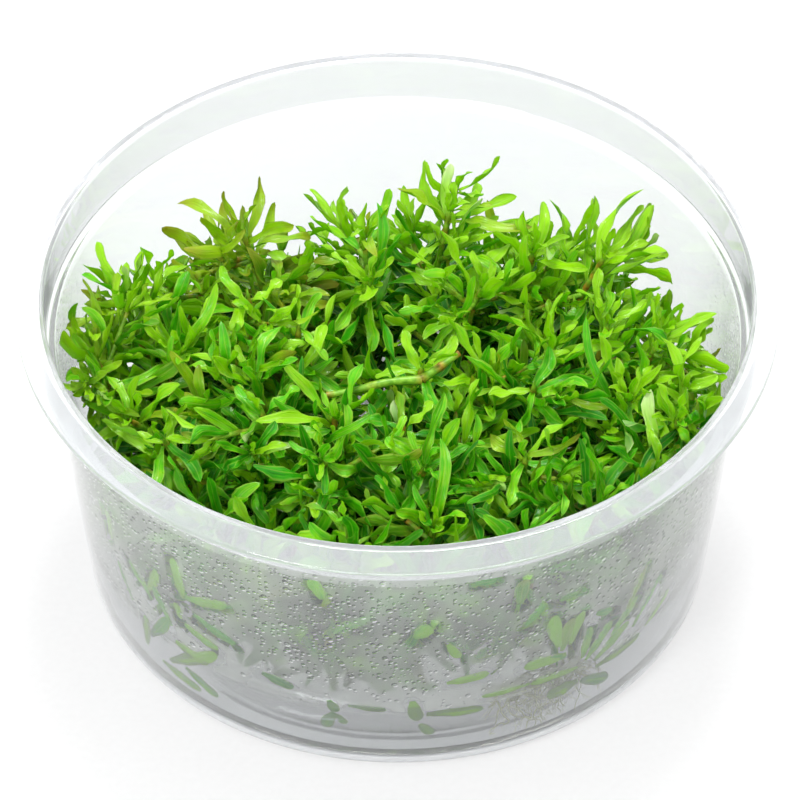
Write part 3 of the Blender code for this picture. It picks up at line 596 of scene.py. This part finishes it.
# Where the clump is open and one looks down into the dark: middle and radii of each hollow in mm
hollows = [((-4.0, 1.0, 42.0), (7.5, 3.4, 13.0)), ((-5.8, -11.0, 40.0), (5.5, 2.6, 10.0)),
           ((13.5, -18.5, 40.0), (5.5, 2.6, 10.0)), ((-27.0, -16.0, 38.0), (4.5, 2.6, 9.0)),
           ((-3.8, -11.2, 46.2), (8.2, 3.2, 3.6))]

# Bare older stems that lie across the clump: points in mm
lyingStems = {
    "shoot_middle": [[(3.6, -7.4, 43.6), (-1.5, -8.2, 43.8), (-6.5, -9.3, 43.2), (-10.9, -9.9, 42.6)],
                     [(3.6, -7.4, 43.6), (6.5, -5.6, 44.6), (9.4, -3.6, 45.6)]],
}

# Leaves that lie flat on the inside of the front wall: the angle from the front towards +X and the height of
# their root, then of their tip, in degrees and mm, and the half width in mm
pressedLeaves = {
    "shoot_low_far_left": [
        (-48.4, 22.0, -53.7, 27.6, 0.9), (-59.1, 28.1, -59.1, 34.9, 0.8), (-45.8, 9.2, -33.5, 18.2, 1.1),
        (-48.2, 7.6, -38.5, 6.6, 0.9), (-41.8, 10.3, -34.6, 7.2, 0.9), (-52.5, 8.5, -51.2, 16.0, 0.9),
        (-49.0, 24.0, -45.5, 30.5, 0.9), (-50.5, 12.0, -44.5, 20.0, 1.0), (-55.0, 17.0, -58.0, 24.0, 0.8)],
    "shoot_low_left": [
        (-39.9, 28.2, -41.0, 37.0, 1.0), (-39.5, 28.5, -30.2, 31.9, 0.95), (-41.2, 22.5, -41.8, 25.8, 0.8),
        (-37.8, 25.5, -29.2, 23.1, 1.0), (-40.4, 21.7, -33.2, 19.7, 1.0), (-43.5, 15.5, -36.0, 14.4, 1.1),
        (-24.6, 18.2, -18.6, 16.8, 0.9), (-44.0, 19.0, -47.5, 26.5, 0.9)],
    "shoot_low_front": [
        (-12.5, 40.0, -14.2, 44.4, 1.0), (2.9, 31.9, 5.5, 34.7, 1.2), (12.7, 43.6, 16.4, 44.0, 0.9),
        (8.5, 29.9, 10.6, 26.2, 0.7), (-11.4, 12.5, -13.5, 8.6, 0.9), (-11.2, 12.2, -9.4, 10.0, 0.6),
        (-12.3, 15.4, -10.9, 12.7, 0.8), (2.6, 16.4, 3.4, 11.4, 1.0), (3.9, 10.6, 6.2, 7.9, 0.8),
        (-8.8, 14.7, -2.0, 14.3, 0.6), (8.5, 20.3, 16.1, 21.1, 0.8), (5.1, 12.9, 15.5, 12.8, 0.9)],
    "shoot_low_right": [
        (20.8, 36.4, 21.0, 42.1, 1.1), (22.0, 30.6, 25.4, 34.6, 0.8), (28.2, 34.1, 32.6, 34.9, 0.8),
        (29.2, 22.6, 27.2, 30.7, 1.1), (29.9, 21.2, 31.3, 28.4, 0.9), (30.8, 19.8, 22.5, 20.4, 1.1),
        (27.6, 20.7, 31.0, 19.2, 0.6), (33.7, 15.1, 24.0, 15.8, 0.8), (24.0, 15.9, 14.9, 15.7, 0.6),
        (34.2, 11.6, 27.7, 10.9, 1.2), (31.5, 22.0, 33.5, 29.0, 0.8)],
    "shoot_low_far_right": [
        (36.5, 26.7, 40.0, 25.1, 0.8), (34.9, 11.4, 41.6, 7.8, 1.1), (38.0, 12.7, 48.9, 13.6, 0.9),
        (41.0, 18.6, 46.4, 24.4, 0.9), (50.2, 14.4, 56.7, 18.7, 0.8), (35.5, 16.0, 40.5, 22.5, 0.9),
        (37.5, 14.5, 45.0, 19.5, 0.9), (44.0, 22.0, 47.5, 31.0, 0.8), (34.6, 17.0, 35.6, 24.0, 0.8),
        (46.5, 17.0, 52.5, 25.5, 0.8)],
}


def cornersAround(vertex):
    return {edge.other_vert(vertex) for edge in vertex.link_edges}


def gapsBetween(ring):
    ring = list(ring)
    return sorted((a.co - b.co).length for k, a in enumerate(ring) for b in ring[k + 1:])


def middleOf(ring):
    return sum((vertex.co for vertex in ring), Vector()) / len(ring)


def ringAfter(ring, seen):
    return set().union(*(cornersAround(vertex) for vertex in ring)) - seen


def readShoot(node):
    # the stem's path and the course of each leaf, from the solid: a leaf's tip has four corners round it that
    # are half a millimetre thick, and its rings lead back to the stem's own square face
    shape = bmesh.new()
    shape.from_mesh(node.data)
    bmesh.ops.remove_doubles(shape, verts=shape.verts, dist=1e-6)
    foot = min(vertex.co.z for vertex in shape.verts)
    leaves, taken = [], set()
    for tip in shape.verts:
        ring = cornersAround(tip)
        if len(ring) != 4 or tip.co.z < foot + 0.1 * mm:
            continue
        gaps = gapsBetween(ring)
        if abs(gaps[0] - 0.5 * mm) > 0.02 * mm or abs(gaps[1] - gaps[0]) > 0.02 * mm or gaps[2] < 1.2 * mm:
            continue
        rings, seen = [], {tip}
        while gapsBetween(ring)[0] < 0.9 * mm:
            rings.append(ring)
            seen |= ring
            ring = ringAfter(ring, seen)
        taken |= seen
        width = gapsBetween(rings[-1])[2]
        pairs = [a.co - b.co for a in rings[-1] for b in rings[-1] if a != b]
        side = min(pairs, key=lambda pair: abs(pair.length - width))
        leaves.append({"root": middleOf(ring), "rings": [middleOf(each) for each in rings[::-1]],
                       "tip": tip.co.copy(), "side": side.normalized(), "halfWidth": width / 2})
    ring = {vertex for vertex in shape.verts if vertex.co.z < foot + 0.05 * mm}
    seen, rings = set(taken), []
    while ring:
        rings.append(middleOf(ring))
        seen |= ring
        ring = ringAfter(ring, seen)
    joints = [(low + high) / 2 for low, high in zip(rings[1:-1:2], rings[2:-1:2])]
    shape.free()
    return [rings[0], *joints, rings[-1]], leaves


def smoothPath(points, spacing):
    # a Catmull-Rom curve through the points
    ends = [points[0] * 2 - points[1], *points, points[-1] * 2 - points[-2]]
    line = [points[0].copy()]
    for before, start, end, after in zip(ends, ends[1:], ends[2:], ends[3:]):
        steps = max(2, round((end - start).length / spacing))
        for step in range(1, steps + 1):
            t = step / steps
            bend = (2 * before - 5 * start + 4 * end - after) * t ** 2
            turn = (3 * start - before - 3 * end + after) * t ** 3
            line.append(0.5 * (2 * start + (end - before) * t + bend + turn))
    return line


class Clump:
    # every leaf and stem so far, as points in a grid of cells, so that what is added finds the open places
    def __init__(self):
        self.cells = {}

    def cellOf(self, place):
        return tuple(int(value // shootLook["cell"]) for value in place)

    def add(self, places):
        for place in places:
            self.cells.setdefault(self.cellOf(place), []).append(tuple(place))

    def roomAt(self, places):
        # the mean distance to what is there, none counted past a cell's size
        total = 0.0
        for place in places:
            around = itertools.product(*[(k - 1, k, k + 1) for k in self.cellOf(place)])
            others = [other for cell in around for other in self.cells.get(cell, ())]
            total += min([math.dist(place, other) for other in others] + [shootLook["cell"]])
        return total / len(places)


class Stem:
    # a smooth line with the distance along it at each point
    def __init__(self, line, nodes=(), stout=0.0):
        self.line, self.nodes, self.stout = line, nodes, stout
        self.at = np.cumsum([0] + [(b - a).length for a, b in zip(line, line[1:])])
        self.whole = self.at[-1]

    def nearest(self, place):
        return min(range(len(self.line) - 1), key=lambda k: (self.line[k] - place).length)

    def place(self, distance):
        k = int(min(max(np.searchsorted(self.at, distance), 1), len(self.line) - 1))
        share = (distance - self.at[k - 1]) / (self.at[k] - self.at[k - 1])
        return self.line[k - 1].lerp(self.line[k], share), (self.line[k] - self.line[k - 1]).normalized()


def courseOf(leaf, shares=(0.35, 0.5, 0.65, 0.8, 0.92, 1.0)):
    return [onCurve(leaf["root"], leaf["middle"], leaf["tip"], share) for share in shares]


def innerRadiusAt(place):
    return innerRadius(min(place.z, cupLook["ledge"]))


def staysInCup(places, limits):
    # inside the wall, over the gel, and neither above nor behind what the shoot's own solid reaches
    ceiling, reach = limits
    for place in places:
        if not shootLook["leafFloor"] < place.z < ceiling or place.y + place.z > reach:
            return False
        if place.xy.length > innerRadiusAt(place) - shootLook["clearOfWall"]:
            return False
        for middle, radii in hollows:
            if sum(((place[k] / mm - middle[k]) / radii[k]) ** 2 for k in range(3)) < 1:
                return False
    return True


def leafFromSolid(solid):
    shares = (0.55,) if len(solid["rings"]) == 1 else (0.40, 0.74)
    guesses = [(ring - solid["root"] * (1 - t) ** 2 - solid["tip"] * t ** 2) / (2 * t * (1 - t))
               for t, ring in zip(shares, solid["rings"])]
    return {"root": solid["root"], "middle": sum(guesses, Vector()) / len(guesses), "tip": solid["tip"],
            "side": solid["side"], "halfWidth": solid["halfWidth"] * shootLook["solidLeafWidth"]}


def newLeaf(stem, distance, turn, length, width, pitch, bend, sway=0.0):
    # a leaf that leaves the stem at the pitch, in degrees, and bends on by as much again as it is told
    place, axis = stem.place(distance)
    reference = Vector((math.cos(turn), math.sin(turn), 0))
    if abs(axis.z) < 0.6:
        reference = Vector((0, 0, 1)) * math.cos(turn) + axis.cross(Vector((0, 0, 1))) * math.sin(turn)
    out = (reference - axis * reference.dot(axis)).normalized()
    side = axis.cross(out).normalized()
    out = Matrix.Rotation(math.radians(sway), 3, axis) @ out
    pitch, bend = math.radians(pitch), math.radians(bend)
    start = axis * math.cos(pitch) + out * math.sin(pitch)
    end = axis * math.cos(pitch + bend) + out * math.sin(pitch + bend)
    root = place + out * shootLook["stemRadius"] * 0.6
    middle = root + start * length / 2
    return {"root": root, "middle": middle, "tip": middle + end * length / 2, "side": side,
            "halfWidth": width / 2, "axis": axis, "age": 0.0}


def spacedNodes(stem, first, taken, draw):
    distance, found = first, []
    while distance < stem.whole - 1.0 * mm:
        if all(abs(distance - own) > 1.4 * mm for own in taken):
            found.append(distance)
        distance += shootLook["nodeSpacing"] * draw.uniform(0.7, 1.2)
    return found


def bestLeaf(stem, distance, turn, size, age, limits, clump, draw):
    # of several leaves that a node could bear, the one that has the most room
    best, most = None, 0.25 * mm
    for attempt in range(shootLook["candidates"]):
        bend = draw.choice((draw.uniform(-30, 55), draw.uniform(-30, 55), draw.uniform(55, 125),
                            draw.uniform(-70, -20)))
        length = draw.uniform(*shootLook["leafLengths"]) * size
        width = draw.uniform(*shootLook["leafWidths"]) * (0.4 + 0.6 * size)
        leaf = newLeaf(stem, distance, turn, length, width, draw.uniform(25, 90), bend, draw.uniform(-45, 45))
        course = courseOf(leaf)
        if staysInCup(course, limits):
            room = clump.roomAt(course[1:])
            if room > most:
                best, most = leaf, room
    if best:
        best["age"] = age
        clump.add(courseOf(best))
    return best


def tuft(stem, count, limits, draw):
    # the small new leaves that stand together at a tip
    found = []
    for petal in range(count):
        length = (7.6 - 0.8 * petal) * draw.uniform(0.7, 1.2) * mm
        found.append(newLeaf(stem, stem.whole - 1.0 * mm, petal * 2.4 + draw.uniform(-0.4, 0.4), length,
                             draw.uniform(1.0, 1.6) * mm, 44 - 6 * petal + draw.uniform(-12, 12),
                             draw.uniform(-40, 25)))
    return [leaf for leaf in found if staysInCup(courseOf(leaf), limits)]


def leavesAlong(stem, nodes, depth, limits, clump, draw):
    # crossed pairs of leaves, each pair a quarter turn on from the last, and now and then a young side shoot
    found = []
    start = draw.uniform(0, math.pi)
    for number, distance in enumerate(nodes):
        fromTip = stem.whole - distance
        size = min(1.0, 0.55 + 0.45 * (fromTip / shootLook["growing"]))
        age = min(1.0, depth + fromTip / shootLook["ageing"])
        for turn in (start + number * 1.57, start + number * 1.57 + math.pi):
            leaf = bestLeaf(stem, distance, turn, size, age, limits, clump, draw)
            if leaf:
                found.append(leaf)
        if draw.random() < shootLook["sideShoots"]:
            for petal in range(4):
                leaf = newLeaf(stem, distance, start + petal * 1.9, draw.uniform(2.6, 4.8) * mm,
                               draw.uniform(0.8, 1.3) * mm, draw.uniform(25, 60), draw.uniform(-20, 30))
                if staysInCup(courseOf(leaf), limits):
                    found.append(leaf)
    return found


def lowLeaves(stem, limits, draw):
    # long spreading leaves in the shade of the clump
    found = []
    for number in range(shootLook["lowLeaves"]):
        leaf = newLeaf(stem, stem.whole * draw.uniform(0.12, 0.62), number * 2.4 + draw.uniform(-0.5, 0.5),
                       draw.uniform(*shootLook["lowLengths"]), draw.uniform(*shootLook["lowWidths"]),
                       draw.uniform(60, 105), draw.uniform(-30, 30))
        if staysInCup(courseOf(leaf), limits):
            leaf["age"] = draw.uniform(0.75, 1.0)
            found.append(leaf)
    return found


def pressedLeaf(startTurn, startHeight, endTurn, endHeight, halfWidth, draw):
    # a leaf that follows the inside of the wall
    places = []
    for share in (0, 0.5, 1):
        turn = math.radians(startTurn + (endTurn - startTurn) * share)
        height = (startHeight + (endHeight - startHeight) * share) * mm
        radius = innerRadius(height) - shootLook["pressedDepth"]
        places.append(placeAt(turn, radius, height))
    root, onWall, tip = places
    inwards = -Vector((onWall.x, onWall.y, 0)).normalized()
    return {"root": root, "middle": onWall * 2 - (root + tip) / 2, "tip": tip,
            "side": inwards.cross(tip - root).normalized(), "halfWidth": halfWidth * 1.15 * mm,
            "axis": inwards, "age": draw.uniform(-0.35, 0.4), "pressed": True}


def sideBranch(stem, limits, clump, draw):
    # a branch that grows out of a leaf axil and turns up, where there is most room for it
    best, most = None, 1.0 * mm
    for attempt in range(12):
        distance, length = stem.whole * draw.uniform(0.2, 0.88), draw.uniform(*shootLook["branchLengths"])
        arm = newLeaf(stem, distance, draw.uniform(0, math.tau), length, 0, draw.uniform(50, 100),
                      draw.uniform(-60, 15))
        onwards = arm["tip"] + (arm["tip"] - arm["middle"]).normalized() * 4 * mm
        if staysInCup([*courseOf(arm), onwards], limits):
            room = clump.roomAt(courseOf(arm, (0.6, 0.8, 1.0)))
            if room > most:
                best, most = arm, room
    return best and Stem(courseOf(best, [k / 7 for k in range(8)]))


def growShoot(name, path, solids, clump, draw):
    # the solid's own leaves first, then crossed pairs between them, and side branches with theirs
    main = Stem(smoothPath(path, shootLook["smooth"]))
    above = shootLook["aboveSolid"]
    limits = (min(shootLook["leafCeiling"], max(solid["tip"].z for solid in solids) + above),
              max(solid["tip"].y + solid["tip"].z for solid in solids) + above)
    leaves = [pressedLeaf(*ends, draw) for ends in pressedLeaves.get(name, ())]
    for solid in solids:
        near = main.nearest(solid["root"])
        leaf = leafFromSolid(solid)
        leaf["axis"] = (main.line[near + 1] - main.line[near]).normalized()
        leaf["age"] = min(1.0, (main.whole - main.at[near]) / shootLook["ageing"])
        leaves.append(leaf)
    own = [main.at[main.nearest(joint)] for joint in path[1:-1]]
    added = spacedNodes(main, main.whole * shootLook["firstNode"], own, draw)
    main.nodes = sorted(own + added)
    leaves += lowLeaves(main, limits, draw)
    bare = []
    for line in lyingStems.get(name, ()):
        stem = Stem(smoothPath([Vector(point) * mm for point in line], shootLook["smooth"]), stout=1.65)
        stem.nodes = [0.0, stem.whole * 0.5, stem.whole]
        bare.append(stem)
    branches = []
    for count in range(draw.randint(*shootLook["branches"])):
        branch = sideBranch(main, limits, clump, draw)
        if branch:
            clump.add(branch.line)
            branch.nodes = spacedNodes(branch, 2.5 * mm, [], draw)
            branches.append(branch)
    for stem, nodes, depth in [(main, added, 0.0)] + [(branch, branch.nodes, 0.1) for branch in branches]:
        leaves += tuft(stem, shootLook["tuftLeaves"] - (stem is not main), limits, draw)
        leaves += leavesAlong(stem, nodes, depth, limits, clump, draw)
    return [main, *bare, *branches], leaves


def paintedLightShift(place):
    # painted light and shade: leaves at the back and at the edge of the clump, which stand in more light, are
    # painted paler and younger in colour, and those high at the front are painted darker
    radius, y, height = place.xy.length / mm, place.y / mm, place.z / mm
    back = clamped((y + 8) / 28)
    edge = clamped((radius - 30) / 14) * (y > -22)
    front = clamped((-y - 12) / 15) * (height > 38)
    return 0.26 * back + 0.22 * edge - 0.10 * front


def curlInCup(leaf, tipSide, curl):
    # less curl where it would take the tip through the wall or into the gel
    tipUp = tipSide.cross((leaf["tip"] - leaf["middle"]).normalized()).normalized()
    while abs(curl) > 0.3 * mm:
        end = leaf["tip"] + tipUp * curl
        clear = innerRadiusAt(end) - 0.9 * mm
        if end.xy.length < clear and 14.6 * mm < end.z < shootLook["leafCeiling"]:
            return curl
        curl *= 0.6
    return 0.0


def stemPoints(stem, isMain, draw):
    # its places, and what each says: thicker at a node, and thinner towards the tip, where it ends in a point
    line, at = stem.line, stem.at
    if isMain:
        line, at = [line[0] - Vector((0, 0, shootLook["rootDepth"])), *line], [0, *at]
    facts = []
    for distance in at:
        near = min([abs(distance - node) for node in stem.nodes] or [1.0])
        slim = (1 - 0.35 * distance / stem.whole) * (1.0 if isMain else 0.72) * (stem.stout or 1.0)
        if not stem.stout:
            slim *= min(1.0, 0.12 + (stem.whole - distance) / (2.2 * mm))
        swell = 1 + 0.25 * math.exp(-(near / (0.8 * mm)) ** 2)
        facts.append({"girth": shootLook["stemRadius"] * slim * swell,
                      "blush": math.exp(-(near / (0.5 * mm)) ** 2) * draw.uniform(0.3, 1.0)})
    return line, facts


def leafPoint(leaf, olive, draw):
    # what the leaf's point says
    heading = (leaf["tip"] - leaf["root"]).normalized()
    side = leaf["side"]
    if side.cross(heading).dot(leaf["axis"]) < 0:
        side = -side
    twist = math.radians(draw.choice((draw.uniform(-60, 60), draw.uniform(-130, 130))))
    length = (leaf["tip"] - leaf["root"]).length
    curl = length * draw.choice((draw.uniform(-0.14, 0.06), draw.uniform(-0.14, 0.06),
                                 draw.uniform(-0.48, -0.2), draw.uniform(0.08, 0.26)))
    pressed = leaf.get("pressed")
    if pressed:
        twist = curl = 0.0
    tipSide = Matrix.Rotation(twist, 3, heading) @ side
    return {
        "bladeRoot": leaf["root"], "bladeMiddle": leaf["middle"], "bladeTip": leaf["tip"],
        "rootSide": side, "tipSide": tipSide, "isBlade": 1.0, "halfWidth": leaf["halfWidth"],
        "curl": curlInCup(leaf, tipSide, curl),
        "phase": draw.uniform(0, math.tau),
        "depth": (0.65 if length < 6 * mm else 1.0) * mm,  # of the blank, whose heights are in mm
        "freedom": 0.15 if pressed else 1.0,  # to fold, ripple and wander
        # the age attribute also carries painted light and shade for where the leaf stands in the clump
        "age": leaf["age"] - paintedLightShift(leaf["tip"]),
        "tone": draw.random(),
        "blush": max(draw.uniform(0.35, 1.0) if draw.random() < shootLook["dryLeaves"] else 0.0,
                     olive * draw.uniform(0.5, 1.0)),
        "pale": draw.uniform(0.4, 1.0) if draw.random() < shootLook["bleachedLeaves"] else 0.0}


def shootBase(name, stems, leaves, olive, draw):
    # one mesh for the tree: the stems as edges and a loose vertex for each leaf, with facts as attributes
    points, edges, facts = [], [], []
    for stem in stems:
        line, told = stemPoints(stem, stem is stems[0], draw)
        edges += [(k, k + 1) for k in range(len(points), len(points) + len(line) - 1)]
        points += line
        facts += told
    facts += [leafPoint(leaf, olive, draw) for leaf in leaves]
    mesh = bpy.data.meshes.new(name)
    mesh.from_pydata(points + [leaf["root"] for leaf in leaves], edges, [])
    for key in (*growthFacts, *colourFacts):
        setAttribute(mesh, key, [each.get(key, 0.0) for each in facts])
    for key in growthSpots:
        setAttribute(mesh, key, [each.get(key, (0, 0, 0)) for each in facts], "FLOAT_VECTOR")
    return addPiece(name, mesh)


def makeShoots():
    draw = random.Random(shootLook["seed"])
    blank = makeLeafBlank()
    tree = makeShootTree(blank, makeLeafMaterial(), makeStemMaterial())
    names = sorted(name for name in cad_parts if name.startswith("shoot_"))
    solids = {name: readShoot(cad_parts[name]) for name in names}
    clump = Clump()
    for path, leaves in solids.values():
        clump.add(smoothPath(path, 1.5 * mm))
        for solid in leaves:
            clump.add(courseOf(leafFromSolid(solid)))
    print("solids read:", sum(len(leaves) for path, leaves in solids.values()), "leaves")
    total = triangles = 0
    for name, (path, solidLeaves) in solids.items():
        stems, leaves = growShoot(name, path, solidLeaves, clump, draw)
        olive = oliveShoots.get(name, 0.0)
        base = shootBase(name + "_lines", stems, leaves, olive, draw)
        piece = treeToPiece(base, tree, "leafy_" + name, (*growthFacts, *growthSpots, "blankPlace"))
        total += len(leaves)
        triangles += sum(len(polygon.vertices) - 2 for polygon in piece.data.polygons)
        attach(piece, "root")
        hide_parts(name)
    bpy.data.objects.remove(blank)
    print("shoots grown:", len(names), "with", total, "leaves,", triangles, "triangles")


# The root threads in the gel at the front right, in place of the solid tuft

rootLook = {
    "seed": 4,
    "threads": 44,
    "hairs": 110,  # much finer ones between them, which show as a haze
    "angles": (17.5, 39.5),  # degrees from the front towards +X
    "radii": (44.5, 47.2),  # mm
    "heights": (4.2, 13.8),  # mm
    "girth": (0.12, 0.19),  # mm
    "hairGirth": 0.35,  # of a thread's
    "step": 0.55,  # mm
    "steps": (8, 34),
    "curl": 0.42,  # how much a thread turns at each step
}


def makeRootMaterial():
    # Young roots: nearly white, a little translucent, yellow-green where they are older
    material, tree, shader, place = newMaterial("youngRoots")
    stain = place.noise(260.0, 3.0)  # 4 mm stains
    colour = stain.ramp((0.3, "#FBFBE6"), (0.55, "#EEF4B4"), (0.8, "#D2E070"))
    fill(shader, {"Base Color": colour, "Roughness": 0.35, "Transmission Weight": 0.1, "IOR": 1.38})
    return material


def makeThreadTree(material):
    # a thin tube along each line of the base mesh
    tree, given, made = newTree("rootThreads", {"Thread material": material, "Thread sides": 5})
    tube = tubesAlong(tree, given["Geometry"], given["Thread sides"], readAttribute(tree, "girth"))
    tube = addNode(tree, "GeometryNodeSetShadeSmooth", [tube])
    tube = addNode(tree, "GeometryNodeSetMaterial", {"Geometry": tube, "Material": given["Thread material"]})
    fill(made, [addNode(tree, "GeometryNodeRealizeInstances", [tube])])
    return tree


def makeRoots():
    draw = random.Random(rootLook["seed"])
    (left, right), (deep, near), (low, high) = rootLook["angles"], rootLook["radii"], rootLook["heights"]
    points, edges, girths = [], [], []
    for thread in range(rootLook["threads"] + rootLook["hairs"]):
        turn = math.radians(min(right, max(left, draw.gauss((left + right) / 2, (right - left) / 3.6))))
        radius = draw.uniform(deep, near) * mm
        place = placeAt(turn, radius, high * mm)
        heading = Vector((draw.uniform(-1, 1), draw.uniform(-0.4, 0.4), -1)).normalized()
        isThread = thread < rootLook["threads"]
        thick = draw.uniform(*rootLook["girth"]) * mm * (1.0 if isThread else rootLook["hairGirth"])
        first = len(points)
        for step in range(draw.randint(*rootLook["steps"])):
            radius = place.xy.length / mm
            if not (left - 1 < turnOf(place) < right + 1 and low < place.z / mm < high + 0.3):
                break
            place.xy *= min(max(radius, deep - 1), near + 0.3) / radius
            points.append(place.copy())
            girths.append(thick * (1 - step / 50))
            wander = Vector((draw.gauss(0, 1), draw.gauss(0, 0.6), draw.gauss(-0.25, 0.8)))
            heading = (heading + wander * rootLook["curl"]).normalized()
            place = place + heading * rootLook["step"] * mm
        edges += [(k, k + 1) for k in range(first, len(points) - 1)]
    mesh = bpy.data.meshes.new("rootLines")
    mesh.from_pydata(points, edges, [])
    setAttribute(mesh, "girth", girths)
    tree = makeThreadTree(makeRootMaterial())
    piece = treeToPiece(addPiece("rootLines", mesh), tree, "rootThreads", ["girth"])
    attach(piece, "root")
    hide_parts("root_tuft")
    print("roots grown:", rootLook["threads"], "threads,", len(piece.data.polygons), "faces")


# The camera, the lights and the floor

stageLook = {
    "cameraPlace": (0.000325, -0.7184, 0.7292),
    "lookedAt": (0.000325, 0, 0.032055),
    "lens": 289.8,
    "floor": ("#989898", "#9C9C9C"),
    "floorGlow": 0.60,  # a light table: it lights the cup from below and shows next to no shadow
    "worldStrength": 1.0,
    "lamps": {"overheadSoftbox": ((0.05, 0.30, 0.9), 0.30, 7.2), "frontFill": ((-0.5, -0.8, 0.8), 0.35, 6.0)},
}


def turnTo(thing, place, target):
    thing.location = place
    thing.rotation_euler = (Vector(target) - thing.location).to_track_quat("-Z", "Y").to_euler()


def makeStage():
    scene = bpy.context.scene
    camera = addPiece("camera", bpy.data.cameras.new("camera"))
    turnTo(camera, stageLook["cameraPlace"], stageLook["lookedAt"])
    camera.data.lens = stageLook["lens"]
    camera.data.sensor_width = 36
    camera.data.clip_end = 20
    scene.camera = camera

    shape = bmesh.new()
    bmesh.ops.create_grid(shape, x_segments=8, y_segments=8, size=3.0)
    mesh = meshOf(shape, "floor")
    # Matte paper with a fine fibre, lit from below so that it looks white and even
    material, tree, shader, place = newMaterial("mattePaperSweep")
    dark, light = stageLook["floor"]
    shade = place.noise(900.0, 3.0).ramp((0.3, dark), (0.7, light))
    fill(shader, {"Base Color": shade, "Roughness": 0.9,
                  "Emission Color": "#FFFFFF", "Emission Strength": stageLook["floorGlow"]})
    material.cycles.emission_sampling = "NONE"  # so wide that chance rays find it: quicker to render
    mesh.materials.append(material)
    floor = addPiece("floor", mesh)
    floor.location.z = -0.2 * mm

    scene.world = bpy.data.worlds.new("whiteRoom")
    scene.world.use_nodes = True
    background = scene.world.node_tree.nodes["Background"]
    fill(background, {"Color": "#FFFFFF", "Strength": stageLook["worldStrength"]})
    for name, (place, size, power) in stageLook["lamps"].items():
        light = bpy.data.lights.new(name, "AREA")
        light.size, light.energy = size, power
        turnTo(addPiece(name, light), place, (0, 0, 0.03))
    scene.view_settings.view_transform = "Standard"
    scene.view_settings.look = "None"
    print("stage set")


makeCup()
makeGel()
makeShoots()
makeRoots()
makeStage()
